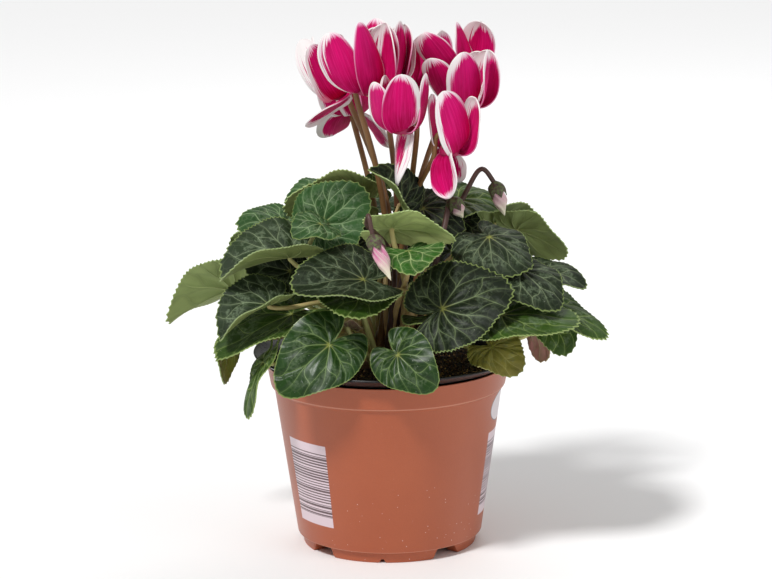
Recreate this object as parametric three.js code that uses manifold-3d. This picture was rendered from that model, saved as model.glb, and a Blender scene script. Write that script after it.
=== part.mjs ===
// A potted cyclamen: nursery pot, leaf collar, soil, corm with its stalks, leaf blades and blooms.
// Millimetres, +Z up. The origin is on the pot's axis, on the surface that the feet stand on.
import * as THREE from 'three';
import { mergeVertices } from 'three/addons/utils/BufferGeometryUtils.js';
import Module from 'manifold-3d';

const wasm = await Module();
wasm.setup();

// Clearance between neighbouring pieces, and the volume below which two pieces are clear
const GAP = 0.3;
const NOTHING = 1e-4;

// Pot
const POT_HEIGHT = 99;
const RIM_RADIUS = 65;
const WALL = 1.6;
const COLLAR_BAND = 12;
const BAND_BOTTOM_RADIUS = 62.6;
const BODY_TOP_RADIUS = 61;
const BODY_BOTTOM_RADIUS = 49.5;
const FOOT_HEIGHT = 6;
const FOOT_RADIUS = 47;
const FOOT_RING_WIDTH = 8;
const FLOOR_TOP = 8;
const FOOT_COUNT = 4;
const FIRST_GAP_TURN = 40;
const FOOT_GAP_LOW = 19;
const FOOT_GAP_HIGH = 11;
const NOTCH_WIDTH = 3;
const NOTCH_HEIGHT = 1.2;
const DRAIN_COUNT = 6;
const DRAIN_RADIUS = 4.5;
const DRAIN_CIRCLE = 27;
const DRAIN_SIDES = 8;
const ROUND_SIDES = 24;

// Leaf collar in the rim
const SUPPORT_RADIUS = 72;
const SUPPORT_TOP = 105.5;
const SUPPORT_WALL = 1.2;
const SUPPORT_SKIRT = 6;

// Soil and corm
const SOIL_LEVEL = 96;
const SOIL_MOUND = 2;
const CORM_RADIUS = 25;
const CORM_HALF_HEIGHT = 12;
const CORM_CENTRE = 92;

// Stalks
const LEAF_STALK_RADIUS = 1.5;
const FLOWER_STALK_RADIUS = 1.8;
const LEAF_STALK_SIDES = 3;
const FLOWER_STALK_SIDES = 4;
const GUARD_SIDES = 6;
const STALK_STEPS = 5;
const HOOK_STEPS = 5;

// How far from the corm's middle stalks leave it, in turn
const ROOT_CIRCLES = [8, 19, 14];

// Routes tried for a leaf stalk: slant at the blade, height of its bend, and sideways bend
const SLANTS = [0.5, 0, 0.9, -0.5];
const RISES = [0.5, 0.35, 0.65, 0.2, 0.8];
const BENDS = [0, 6, -6, 12, -12, 18, -18, 26, -26, 34, -34];

// Routes tried for a flower stalk: where along its height it bends, and how far aside
const BEND_SHARES = [0.5, 0.7];
const BEND_ASIDES = [0, 6, 12, 18, 24];

// Leaf blades
const BLADE_THICKNESS = 0.8;
const EDGE_POINTS = 20;
const TOOTH_DEPTH = 0.025;
const NOTCH_DEPTH = 0.85;
const NOTCH_ANGLE = 0.28;
const RIB_SOFTNESS = 1.5;
const EDGE_WAVES = 5;
const BLADE_ARCH = 2.2;
const BLADE_WAVE = 1.1;

// Blooms
const PETAL_THICKNESS = 0.8;
const PETAL_WIDTH = 20;
const PETAL_ROOT_WIDTH = 5;
const PETAL_WIDEST = 0.7;
const PETAL_CUP = 0.18;
const PETAL_STEPS = 4;
const THROAT_RADIUS = 5.5;
const THROAT_HEIGHT = 8;
const THROAT_SIDES = 6;
const PETAL_SPREAD = 256;
const STALK_SPACING = 52;
const PETAL_TWIST = 0.4;

// The way a leaf or bloom is moved back until it lies clear of those in front of it
const BACKWARD = new THREE.Vector3(0, 0.977, -0.215);
const BACK_STEP = 1.5;
const BACK_TRIES = 24;

// Leaves by hand, front to back: foot of the midrib, tip, the way the upper side faces,
// the angle that each half is raised from flat, and the width as a share of the usual width
const LEAVES = [
  ['leaf_big_right', [28, -64, 141], [64, -60, 151], [0, -0.75, 0.66], 0, 1.1],
  ['leaf_front_under', [-14, -44, 146], [-18, -78, 139], [0, -0.3, 0.95], 0, 1.05],
  ['leaf_front_edge', [26, -46, 133], [50, -68, 127], [0, -0.15, 0.98], 6, 1],
  ['leaf_front_bright', [11, -58, 170], [14, -82, 163], [0, -0.55, 0.83], 8, 1.2],
  ['leaf_hanging_middle', [5, -71, 119], [24, -81, 103], [-0.1, -0.95, 0.3], 0, 1],
  ['leaf_hanging_left', [-30, -56, 121], [-56, -66, 98], [-0.2, -0.9, 0.35], 0, 0.95],
  ['leaf_big_left', [-12, -52, 154], [-49, -62, 152], [0, -0.4, 0.92], 12, 1.1],
  ['leaf_right_ridge', [69, -46, 157], [86, -66, 139], [0.3, -0.5, 0.8], -8, 1.1],
  ['leaf_right_low', [59, -50, 134], [99, -52, 130], [0.1, -0.28, 0.95], 0, 1],
  ['leaf_yellow', [54, -46, 116], [68, -58, 105], [0, -0.7, 0.7], 0, 1.1],
  ['leaf_small_red', [-21, -46, 128], [-34, -53, 125], [0, 0.3, 0.9], 20, 0.9],
  ['leaf_left_low', [-62, -40, 139], [-87, -48, 123], [-0.2, -0.25, 0.95], 34, 1.2],
  ['leaf_left_long', [-50, -34, 132], [-90, -42, 112], [0.1, -0.25, 0.95], 10, 0.8],
  ['leaf_hanging_edge', [-65, -40, 108], [-73, -48, 80], [-0.95, -0.25, 0.1], 0, 0.8],
  ['leaf_right_upper', [53, -38, 173], [72, -52, 157], [0.25, -0.6, 0.75], -20, 1.3],
  ['leaf_pale_middle', [3, -47, 180], [35, -49, 173], [0, 0.6, 0.8], 0, 1],
  ['leaf_silver', [-33, -32, 180], [-10, -28, 197], [0.1, -0.8, 0.55], 0, 1.2],
  ['leaf_small_left', [-34, -26, 178], [-48, -36, 174], [-0.1, -0.6, 0.8], 0, 1.2],
  ['leaf_left_middle', [-51, -34, 163], [-87, -40, 153], [0, -0.12, 0.99], 34, 1.2],
  ['leaf_dark_middle', [19, -30, 187], [39, -40, 174], [0.3, -0.7, 0.6], 0, 1.1],
  ['leaf_dark_left', [-10, -14, 168], [-40, -22, 167], [0, -0.5, 0.85], 0, 1.1],
  ['leaf_right_tip', [83, -30, 136], [115, -33, 117], [0.35, -0.2, 0.9], 0, 1],
  ['leaf_right_hanging', [86, -18, 127], [94, -24, 106], [0.3, -0.9, 0.2], 0, 1],
  ['leaf_grey_right', [78, -18, 150], [105, -20, 143], [0.1, -0.25, 0.95], 0, 1],
  ['leaf_cup', [8, -18, 187], [-8, -20, 206], [0.6, -0.4, 0.6], 40, 1.1],
  ['leaf_left_upper', [-54, -10, 175], [-79, -16, 176], [-0.1, -0.5, 0.85], 0, 1.1],
  ['leaf_olive_hanging', [-82, -8, 116], [-86, -14, 90], [-0.85, 0.45, 0.2], 0, 0.9],
  ['leaf_top_pale', [-20, -2, 187], [-54, -10, 184], [-0.1, 0.75, 0.65], 0, 1.1],
  ['leaf_top_right', [38, -2, 186], [60, 2, 182], [0, -0.35, 0.93], 0, 1.2],
  ['leaf_top_left', [-32, 12, 188], [-54, 8, 185], [-0.2, -0.4, 0.9], 0, 1.2],
  ['leaf_right_inside', [34, -12, 160], [66, -18, 152], [0, -0.3, 0.95], 0, 1.1],
  ['leaf_far_left', [-83, 6, 137], [-117, 2, 120], [0, 0.58, 0.82], 23, 1.1],
  ['leaf_pink', [78, 6, 113], [82, 10, 94], [0.75, 0.6, 0.2], 0, 1],
  ['leaf_far_right', [70, 14, 166], [96, 6, 153], [0.2, 0.7, 0.7], 0, 1.1],
  ['leaf_right_top', [58, 20, 169], [86, 28, 160], [0.1, 0.75, 0.65], 0, 1.1],
  ['leaf_pale_left', [-64, 14, 162], [-84, 22, 155], [-0.2, 0.7, 0.6], 0, 1.1],
];

// Rings of leaves round the back: how many, their first and last turn from +X, how far their feet
// stand from the axis, at what height, their length, and how steeply they hang
const BACK_RINGS = [
  { name: 'leaf_back_low', count: 4, from: 30, to: 150, radius: 60, height: 124, length: 34, drop: 0.75 },
  { name: 'leaf_back_middle', count: 4, from: 17, to: 163, radius: 50, height: 150, length: 38, drop: 0.4 },
  { name: 'leaf_back_top', count: 3, from: 45, to: 135, radius: 26, height: 172, length: 33, drop: 0.15 },
];
const BACK_STAGGER = 7;

// Blooms by hand: mouth, the side where the stalk passes, then each petal's tip from the mouth,
// counter-clockwise from that side
const BLOOMS = [
  ['bloom_front_right', [33, -36, 216], 190,
    [[-1, -14, -20], [-4, -14, 35], [13, -10, 31], [2, 12, -16], [-9, 4, 31]]],
  ['bloom_front_middle', [9, -34, 227], 20,
    [[-3, -2, -27], [-9, 6, 29], [-13, -12, 28], [-1, -18, 33], [12, 4, 30]]],
  ['bloom_front_left', [-9, -22, 246], 150,
    [[-19, -12, 34], [-4, -13, 39], [10, -8, 38], [5, 6, 34]]],
  ['bloom_right', [43, -6, 235], 120,
    [[-19, -14, 29], [-3, -16, 32], [10, -8, 32], [6, 10, 29]]],
  ['bloom_left', [-24, 2, 240], 60,
    [[0, 10, 33], [-20, 10, 30], [-15, -14, 30], [-17, -26, -9]]],
  ['bloom_inner', [0, 8, 245], 100,
    [[-8, 5, 33], [-4, -5, 37], [8, -8, 36], [6, 10, 30]]],
  ['bloom_back_middle', [9, 30, 239], 80,
    [[-2, 12, 32], [-8, 4, 33], [4, -11, 30], [13, -2, 31]]],
  ['bloom_back_right', [40, 24, 249], 90,
    [[-9, 12, 22], [-19, -12, 24], [-2, -8, 29], [11, -8, 29]]],
  ['bloom_low', [-17, 30, 227], 100,
    [[-13, 16, -14], [-10, 0, 23], [8, 2, 23], [19, 12, -20]]],
];

// Buds by hand: the top of the hook, the tip, and the hook's foot
const BUDS = [
  { foot: [-10, -68, 186], top: [-9, -76, 193], calyx: [-7, -79, 182], tip: [2, -82, 160] },
  { foot: [33, -24, 190], top: [33, -24, 199], calyx: [34, -26, 191], tip: [40, -27, 181] },
  { foot: [41, -14, 190], top: [50, -16, 206], calyx: [57, -16, 197], tip: [62, -17, 180] },
];
const CALYX_RADIUS = 4.2;
const BUD_RADIUS = 3.6;
const BUD_SIDES = 5;

// Materials
const plastic = (color, roughness) => new THREE.MeshStandardMaterial({ color, roughness, metalness: 0 });
const TERRACOTTA = plastic(0xb06246, 0.55);
const BLACK_PLASTIC = plastic(0x1a1a1c, 0.3);
const SOIL_BROWN = plastic(0x2b1d15, 0.95);
const STALK_BROWN = plastic(0x8a6a4a, 0.6);
const LEAF_GREEN = plastic(0x35552f, 0.45);
const PETAL_MAGENTA = plastic(0xc0125f, 0.5);

const at = (list) => new THREE.Vector3(...list);

// A point at a turn about +Z from +X
const turned = (degrees, radius = 1, height = 0) => new THREE.Vector3(
  radius * Math.cos(THREE.MathUtils.degToRad(degrees)),
  radius * Math.sin(THREE.MathUtils.degToRad(degrees)),
  height,
);

// A closed geometry as a solid that can be joined and cut
function solidOf(geometry) {
  const bare = geometry.clone();
  bare.deleteAttribute('normal');
  bare.deleteAttribute('uv');
  const merged = mergeVertices(bare, 1e-4);
  const corners = merged.index.array;
  const triVerts = [];
  for (let i = 0; i < corners.length; i += 3) {
    const [a, b, c] = [corners[i], corners[i + 1], corners[i + 2]];
    if (a !== b && b !== c && c !== a) {
      triVerts.push(a, b, c);
    }
  }
  return new wasm.Manifold(new wasm.Mesh({
    numProp: 3,
    vertProperties: new Float32Array(merged.attributes.position.array),
    triVerts: new Uint32Array(triVerts),
  }));
}

function meshOf(name, solid, material) {
  const { vertProperties, triVerts } = solid.getMesh();
  const geometry = new THREE.BufferGeometry();
  geometry.setAttribute('position', new THREE.BufferAttribute(vertProperties, 3));
  geometry.setIndex(new THREE.BufferAttribute(triVerts, 1));
  geometry.computeVertexNormals();
  const mesh = new THREE.Mesh(geometry, material);
  mesh.name = name;
  return mesh;
}

// A profile of [radius, height] points spun about +Z
function spun(profile, sides = ROUND_SIDES) {
  const points = profile.map(([radius, height]) => new THREE.Vector2(radius, height));
  return new THREE.LatheGeometry(points, sides).rotateX(Math.PI / 2);
}

function joined(solids) {
  return solids.reduce((whole, next) => whole.add(next));
}

function boxesMeet(a, b) {
  const one = a.boundingBox();
  const two = b.boundingBox();
  return [0, 1, 2].every((i) => one.min[i] <= two.max[i] && two.min[i] <= one.max[i]);
}

function touches(a, b) {
  return boxesMeet(a, b) && a.intersect(b).volume() > NOTHING;
}

// Pot
function potSolid() {
  const bandBottom = POT_HEIGHT - COLLAR_BAND;
  const shell = solidOf(spun([
    [0, FOOT_HEIGHT - 1],
    [FOOT_RADIUS - FOOT_RING_WIDTH, FOOT_HEIGHT - 1],
    [FOOT_RADIUS - FOOT_RING_WIDTH + 1, 0],
    [FOOT_RADIUS - 0.6, 0],
    [FOOT_RADIUS, FOOT_HEIGHT],
    [BODY_BOTTOM_RADIUS, FOOT_HEIGHT],
    [BODY_TOP_RADIUS, bandBottom - 1],
    [BAND_BOTTOM_RADIUS, bandBottom],
    [BAND_BOTTOM_RADIUS + 0.4, bandBottom + 1.5],
    [RIM_RADIUS - 0.4, POT_HEIGHT - 1.2],
    [RIM_RADIUS, POT_HEIGHT],
    [RIM_RADIUS - WALL, POT_HEIGHT],
    [BODY_TOP_RADIUS - 0.2, bandBottom],
    [BODY_BOTTOM_RADIUS - WALL, FLOOR_TOP],
    [0, FLOOR_TOP],
  ]));
  const cuts = [];
  for (let i = 0; i < FOOT_COUNT; i += 1) {
    const turn = FIRST_GAP_TURN - 90 + i * (360 / FOOT_COUNT);
    cuts.push(footGap(turn, FOOT_GAP_LOW, FOOT_GAP_HIGH, FOOT_HEIGHT - 1));
    cuts.push(footGap(turn + 180 / FOOT_COUNT, NOTCH_WIDTH, NOTCH_WIDTH * 0.6, NOTCH_HEIGHT));
  }
  for (let i = 0; i < DRAIN_COUNT; i += 1) {
    cuts.push(drain(turned(i * (360 / DRAIN_COUNT), DRAIN_CIRCLE)));
  }
  return cuts.reduce((pot, cut) => pot.subtract(cut), shell);
}

// A wedge-sided channel cut through the foot ring, across the given turn
function footGap(turn, low, high, height) {
  const shape = new THREE.Shape([
    new THREE.Vector2(-low / 2, -1),
    new THREE.Vector2(low / 2, -1),
    new THREE.Vector2(high / 2, height),
    new THREE.Vector2(-high / 2, height),
  ]);
  const inner = FOOT_RADIUS - FOOT_RING_WIDTH - 4;
  const channel = new THREE.ExtrudeGeometry(shape, { depth: FOOT_RING_WIDTH + 10, bevelEnabled: false });
  channel.rotateX(Math.PI / 2).rotateZ(Math.PI);
  channel.translate(0, inner, 0);
  channel.rotateZ(THREE.MathUtils.degToRad(turn - 90));
  return solidOf(channel);
}

function drain(centre) {
  const hole = new THREE.CylinderGeometry(DRAIN_RADIUS, DRAIN_RADIUS, 10, DRAIN_SIDES).rotateX(Math.PI / 2);
  return solidOf(hole.translate(centre.x, centre.y, FOOT_HEIGHT));
}

// Collar: a skirt inside the rim that flares out above it
function supportSolid() {
  const skirt = RIM_RADIUS - WALL - GAP - 0.3;
  const low = POT_HEIGHT - SUPPORT_SKIRT;
  const bend = POT_HEIGHT + 0.5;
  return solidOf(spun([
    [skirt - SUPPORT_WALL - 0.7, low],
    [skirt - 0.7, low],
    [skirt, bend],
    [RIM_RADIUS + 1, bend + 1.2],
    [SUPPORT_RADIUS, SUPPORT_TOP - 1],
    [SUPPORT_RADIUS - 0.5, SUPPORT_TOP],
    [RIM_RADIUS, bend + 2.6],
    [skirt - SUPPORT_WALL, bend + 1],
    [skirt - SUPPORT_WALL - 0.7, low],
  ]));
}

// Soil: fills the pot, mounded towards the corm, with a pocket for it
function soilSolid() {
  const top = RIM_RADIUS - WALL - GAP - 0.3 - SUPPORT_WALL - 0.7 - GAP;
  const bandBottom = POT_HEIGHT - COLLAR_BAND;
  const rings = [0, 22, 36, 48, top - 2];
  const surface = rings.map((radius) => [radius, SOIL_LEVEL + SOIL_MOUND * Math.cos(radius / 40)]);
  const body = spun([
    [0, FLOOR_TOP + GAP],
    [BODY_BOTTOM_RADIUS - WALL - GAP, FLOOR_TOP + GAP],
    [BODY_TOP_RADIUS - 0.2 - GAP - 0.1, bandBottom - 0.3],
    [top, bandBottom + 2],
    [top, SOIL_LEVEL - 1.5],
    ...surface.reverse(),
  ]);
  crumble(body);
  const pocket = solidOf(cormGeometry(GAP));
  return solidOf(body).subtract(pocket);
}

// Raises and lowers the soil's open surface into soft lumps
function crumble(geometry) {
  const position = geometry.attributes.position;
  for (let i = 0; i < position.count; i += 1) {
    const [x, y, z] = [position.getX(i), position.getY(i), position.getZ(i)];
    const open = Math.hypot(x, y) < 57 && z > SOIL_LEVEL - 4;
    if (open) {
      position.setZ(i, z + 0.7 * Math.sin(x / 5.3) * Math.cos(y / 4.7));
    }
  }
}

function cormGeometry(grow = 0) {
  const sphere = new THREE.SphereGeometry(1, 12, 6).rotateX(Math.PI / 2);
  sphere.scale(CORM_RADIUS + grow, CORM_RADIUS + grow, CORM_HALF_HEIGHT + grow);
  return sphere.translate(0, 0, CORM_CENTRE);
}

// Where a stalk leaves the corm
function cormPoint(turn, radius) {
  const height = CORM_HALF_HEIGHT * Math.sqrt(1 - (radius / CORM_RADIUS) ** 2);
  return turned(turn, radius, CORM_CENTRE + height - 3);
}

// Leaf blade
function reach(angle) {
  const heart = 0.62 + 0.09 * Math.cos(angle) + 0.02 * Math.cos(2 * angle);
  const point = 0.27 * Math.exp(-((angle / 0.45) ** 2));
  const fromNotch = (Math.PI - Math.abs(angle)) / NOTCH_ANGLE;
  return (heart + point) * (1 - NOTCH_DEPTH * Math.exp(-fromNotch * fromNotch));
}

function leafFrame(leaf) {
  const along = leaf.tip.clone().sub(leaf.foot);
  const length = along.length();
  along.normalize();
  const up = leaf.faces.clone().addScaledVector(along, -leaf.faces.dot(along)).normalize();
  const across = new THREE.Vector3().crossVectors(along, up);
  return { along, up, across, length };
}

// A point of the blade's middle surface, by angle from the midrib and share of the way to the edge
function bladePoint(leaf, frame, angle, share, margin) {
  const { along, up, across, length } = frame;
  const radius = share * length * reach(angle) * margin;
  const side = radius * Math.sin(angle) * leaf.width;
  const ahead = radius * Math.cos(angle);
  const lift = THREE.MathUtils.degToRad(leaf.fold);
  const fromRib = Math.sqrt(side * side + RIB_SOFTNESS ** 2) - RIB_SOFTNESS;
  const step = Math.max(ahead / length, -0.3);
  const arch = BLADE_ARCH * 4 * step * (1 - step);
  const wave = BLADE_WAVE * share * share * Math.sin(EDGE_WAVES * angle + leaf.phase);
  return leaf.foot.clone()
    .addScaledVector(across, side * Math.cos(lift))
    .addScaledVector(along, ahead)
    .addScaledVector(up, fromRib * Math.sin(lift) + arch + wave);
}

function bladeSolid(leaf, thickness, margin = 1) {
  const frame = leafFrame(leaf);
  const middle = [bladePoint(leaf, frame, 0, 0, margin)];
  const inner = EDGE_POINTS / 2;
  for (let i = 0; i < inner; i += 1) {
    middle.push(bladePoint(leaf, frame, ringAngle(i, inner), 0.55, margin));
  }
  for (let i = 0; i < EDGE_POINTS; i += 1) {
    const tooth = 1 + (i % 2 === 0 ? TOOTH_DEPTH : -TOOTH_DEPTH);
    middle.push(bladePoint(leaf, frame, ringAngle(i, EDGE_POINTS), 1, margin * tooth));
  }
  const faces = [];
  for (let i = 0; i < inner; i += 1) {
    const here = 1 + i;
    const next = 1 + ((i + 1) % inner);
    const edge = [0, 1, 2].map((k) => 1 + inner + ((2 * i + k) % EDGE_POINTS));
    faces.push([0, next, here]);
    faces.push([here, edge[1], edge[0]]);
    faces.push([here, next, edge[1]]);
    faces.push([next, edge[2], edge[1]]);
  }
  const rim = [];
  for (let i = EDGE_POINTS - 1; i >= 0; i -= 1) {
    rim.push(1 + inner + i);
  }
  return thickened(middle, faces, rim, thickness);
}

// Angles run from the tip round to the notch and back, so the first is the tip
function ringAngle(index, count) {
  const turn = (2 * Math.PI * index) / count;
  return turn > Math.PI ? turn - 2 * Math.PI : turn;
}

// A sheet of points and faces made a solid of even thickness, split alike on both sides
function thickened(middle, faces, rim, thickness) {
  const normals = middle.map(() => new THREE.Vector3());
  for (const [a, b, c] of faces) {
    const normal = new THREE.Vector3().crossVectors(
      middle[b].clone().sub(middle[a]),
      middle[c].clone().sub(middle[a]),
    );
    [a, b, c].forEach((k) => normals[k].add(normal));
  }
  normals.forEach((normal) => normal.normalize());
  const count = middle.length;
  const positions = [];
  for (const sign of [0.5, -0.5]) {
    middle.forEach((point, k) => {
      positions.push(...point.clone().addScaledVector(normals[k], sign * thickness).toArray());
    });
  }
  const triangles = [];
  for (const [a, b, c] of faces) {
    triangles.push(a, b, c, count + a, count + c, count + b);
  }
  rim.forEach((here, k) => {
    const next = rim[(k + 1) % rim.length];
    triangles.push(here, count + here, next, next, count + here, count + next);
  });
  const geometry = new THREE.BufferGeometry();
  geometry.setAttribute('position', new THREE.Float32BufferAttribute(positions, 3));
  geometry.setIndex(triangles);
  return solidOf(geometry);
}

// Petal
function petalSolid(petal, thickness, margin = 0) {
  const root = petal.mouth.clone().addScaledVector(petal.outward, THROAT_RADIUS - 2);
  root.z += 3;
  const belly = petal.mouth.clone().addScaledVector(petal.outward, THROAT_RADIUS + 4);
  const end = petal.mouth.clone().add(petal.tip);
  const path = new THREE.QuadraticBezierCurve3(root, belly, end);
  const sideways = new THREE.Vector3(0, 0, 1).cross(petal.outward);
  const middle = [];
  for (let i = 0; i <= PETAL_STEPS; i += 1) {
    const share = i / PETAL_STEPS;
    const tangent = path.getTangent(share);
    const across = sideways.clone().addScaledVector(tangent, -sideways.dot(tangent)).normalize();
    across.applyAxisAngle(tangent, PETAL_TWIST);
    const normal = new THREE.Vector3().crossVectors(across, tangent);
    const half = petalHalfWidth(share) + margin;
    for (const side of [-1, 0, 1]) {
      middle.push(path.getPoint(share)
        .addScaledVector(across, side * half)
        .addScaledVector(normal, side === 0 ? PETAL_CUP * half : 0));
    }
  }
  const faces = [];
  for (let i = 0; i < PETAL_STEPS; i += 1) {
    for (const column of [0, 1]) {
      const here = 3 * i + column;
      faces.push([here, here + 1, here + 4], [here, here + 4, here + 3]);
    }
  }
  const last = 3 * PETAL_STEPS;
  const rim = [0, 1, 2];
  for (let i = 1; i <= PETAL_STEPS; i += 1) {
    rim.push(3 * i + 2);
  }
  rim.push(last + 1, last);
  for (let i = PETAL_STEPS - 1; i > 0; i -= 1) {
    rim.push(3 * i);
  }
  return thickened(middle, faces, rim, thickness);
}

// Narrow at the root, widest past the middle, and rounded at the tip
function petalHalfWidth(share) {
  const root = PETAL_ROOT_WIDTH / 2;
  const swell = THREE.MathUtils.smoothstep(share, 0.1, PETAL_WIDEST);
  const past = Math.max(0, (share - PETAL_WIDEST) / (1 - PETAL_WIDEST));
  return (root + (PETAL_WIDTH / 2 - root) * swell) * Math.sqrt(1.06 - past * past);
}

// The short tube that the petals grow from, with a corner turned to the stalk
function throatSolid(mouth, side) {
  const throat = spun([
    [0, 2],
    [THROAT_RADIUS - 2, 0],
    [THROAT_RADIUS, 0.5],
    [THROAT_RADIUS - 0.3, THROAT_HEIGHT * 0.5],
    [THROAT_RADIUS - 2.5, THROAT_HEIGHT * 0.9],
    [0, THROAT_HEIGHT],
  ], THROAT_SIDES);
  throat.rotateZ(THREE.MathUtils.degToRad(side + 90));
  return solidOf(throat.translate(mouth.x, mouth.y, mouth.z));
}

function bloomSolid(bloom, thickness, margin) {
  const parts = bloom.tips.map((tip, i) => petalSolid({
    mouth: bloom.mouth,
    tip,
    outward: turned(bloom.side + STALK_SPACING + i * (PETAL_SPREAD / (bloom.tips.length - 1))),
  }, thickness, margin));
  return joined([throatSolid(bloom.mouth, bloom.side), ...parts]);
}

// Moves a piece to and fro along the line of sight, step by step, until its guard meets no other
function setBack(guard, placed) {
  for (let i = 0; i < BACK_TRIES; i += 1) {
    for (const way of [1, -1]) {
      const moved = BACKWARD.clone().multiplyScalar(way * i * BACK_STEP);
      const here = guard.translate(moved.toArray());
      if (!placed.some((other) => touches(here, other))) {
        return moved;
      }
    }
  }
  throw new Error('A leaf or bloom has no clear place');
}

// A tube along each stretch of a stalk, joined end to end
function stalkSolid(stretches, radius, sides) {
  const ring = [];
  for (let i = 0; i < sides; i += 1) {
    const turn = (2 * Math.PI * i) / sides;
    ring.push(new THREE.Vector2(radius * Math.cos(turn), radius * Math.sin(turn)));
  }
  const section = new THREE.Shape(ring);
  return joined(stretches.map(([path, steps]) => (
    solidOf(new THREE.ExtrudeGeometry(section, { steps, extrudePath: path }))
  )));
}

// The first of a fan of routes, straightest first, that keeps clear of every blade and bloom,
// or else the one that meets the least of them, which are then cut clear of the stalk
function clearRoute(routes, radius, plant, fixed) {
  const blocked = [...plant.map((node) => node.solid), ...fixed];
  let best = routes[0];
  let least = Infinity;
  for (const route of routes) {
    const guard = stalkSolid(route, radius + GAP + 0.1, GUARD_SIDES);
    let met = 0;
    for (const solid of blocked) {
      if (met < least && boxesMeet(guard, solid)) {
        met += guard.intersect(solid).volume();
      }
    }
    if (met < least) {
      best = route;
      least = met;
    }
    if (met < NOTHING) {
      return best;
    }
  }
  const guard = stalkSolid(best, radius + GAP, GUARD_SIDES);
  for (const node of plant) {
    if (touches(guard, node.solid)) {
      node.solid = largest(node.solid.subtract(guard));
    }
  }
  return best;
}

function largest(solid) {
  return solid.decompose().reduce((big, next) => (next.volume() > big.volume() ? next : big));
}

// A leaf stalk leans out from the corm and arrives under the foot of the blade
function leafRoutes(leaf) {
  const { along, up } = leafFrame(leaf);
  const turn = THREE.MathUtils.radToDeg(Math.atan2(leaf.foot.y, leaf.foot.x));
  const out = Math.hypot(leaf.foot.x, leaf.foot.y);
  const circle = ROOT_CIRCLES[leaf.place % ROOT_CIRCLES.length];
  const root = cormPoint(turn, circle * Math.min(1, 0.4 + out / 90));
  const sideways = turned(turn + 90);
  const routes = [];
  for (const slant of SLANTS) {
    const arrive = up.clone().addScaledVector(along, slant).normalize();
    const tilt = Math.sqrt(Math.max(0, 1 - arrive.dot(up) ** 2));
    const below = BLADE_THICKNESS / 2 + GAP + 0.15 + LEAF_STALK_RADIUS * tilt;
    const end = leaf.foot.clone().addScaledVector(up, -below);
    const span = end.distanceTo(root);
    for (const rise of RISES) {
      for (const bend of BENDS) {
        const path = new THREE.CubicBezierCurve3(
          root,
          root.clone().addScaledVector(sideways, bend).add(turned(turn, 6, rise * span)),
          end.clone().addScaledVector(sideways, bend).addScaledVector(arrive, -0.3 * span),
          end,
        );
        routes.push([[path, STALK_STEPS]]);
      }
    }
  }
  return routes;
}

// A flower stalk rises between two petals and stands against the side of the throat
function flowerRoutes(bloom) {
  const away = THROAT_RADIUS + FLOWER_STALK_RADIUS + GAP + 0.15;
  const beside = bloom.mouth.clone().addScaledVector(turned(bloom.side), away);
  const top = beside.clone().setZ(bloom.mouth.z + THROAT_HEIGHT - 2);
  beside.z -= 2;
  return stemRoutes(beside, 8).map((stem) => [stem, [new THREE.LineCurve3(beside, top), 1]]);
}

function budRoutes(bud) {
  const [foot, top, calyx] = [at(bud.foot), at(bud.top), at(bud.calyx)];
  const hook = new THREE.CatmullRomCurve3([foot, top, calyx], false, 'centripetal');
  return stemRoutes(foot, 12).map((stem) => [stem, [hook, HOOK_STEPS]]);
}

// Ways up from the corm to a point among or above the leaves, bent further aside each time
function stemRoutes(end, rootCircle) {
  const turn = THREE.MathUtils.radToDeg(Math.atan2(end.y, end.x));
  const root = cormPoint(turn, rootCircle);
  const last = end.clone().add(new THREE.Vector3(0, 0, 1.5));
  const routes = [];
  for (const share of BEND_SHARES) {
    for (const aside of BEND_ASIDES) {
      for (let aim = 0; aim < 360; aim += aside === 0 ? 360 : 30) {
        const middle = root.clone().lerp(end, share).add(turned(aim, aside));
        const path = new THREE.CatmullRomCurve3([root, middle, end, last], false, 'centripetal');
        routes.push([path, STALK_STEPS]);
      }
    }
  }
  return routes;
}

// A spindle along the bud: calyx first, then the rolled petals down to the tip
function budSolid(bud) {
  const start = at(bud.calyx);
  const along = at(bud.tip).sub(start);
  const length = along.length();
  const spindle = spun([
    [0, -2],
    [CALYX_RADIUS * 0.6, -1],
    [CALYX_RADIUS, 3],
    [CALYX_RADIUS * 0.9, 7],
    [BUD_RADIUS, 8],
    [BUD_RADIUS * 0.85, length * 0.65],
    [BUD_RADIUS * 0.3, length - 1],
    [0, length],
  ], BUD_SIDES);
  const turn = new THREE.Quaternion().setFromUnitVectors(new THREE.Vector3(0, 0, 1), along.normalize());
  return solidOf(spindle.applyQuaternion(turn).translate(start.x, start.y, start.z));
}

// Leaves placed by hand, then the rings at the back
function allLeaves() {
  const leaves = LEAVES.map(([name, foot, tip, faces, fold, width], i) => ({
    name, foot: at(foot), tip: at(tip), faces: at(faces), fold, width, phase: i, place: i,
  }));
  for (const ring of BACK_RINGS) {
    for (let i = 0; i < ring.count; i += 1) {
      const turn = ring.from + ((ring.to - ring.from) * i) / (ring.count - 1);
      const foot = turned(turn, ring.radius, ring.height + BACK_STAGGER * (i % 2));
      const out = turned(turn, 1, -ring.drop).normalize();
      leaves.push({
        name: `${ring.name}_${i + 1}`,
        foot,
        tip: foot.clone().addScaledVector(out, ring.length),
        faces: turned(turn, ring.drop, 1),
        fold: 0,
        width: 1,
        phase: i,
        place: leaves.length,
      });
    }
  }
  return leaves;
}

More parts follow.
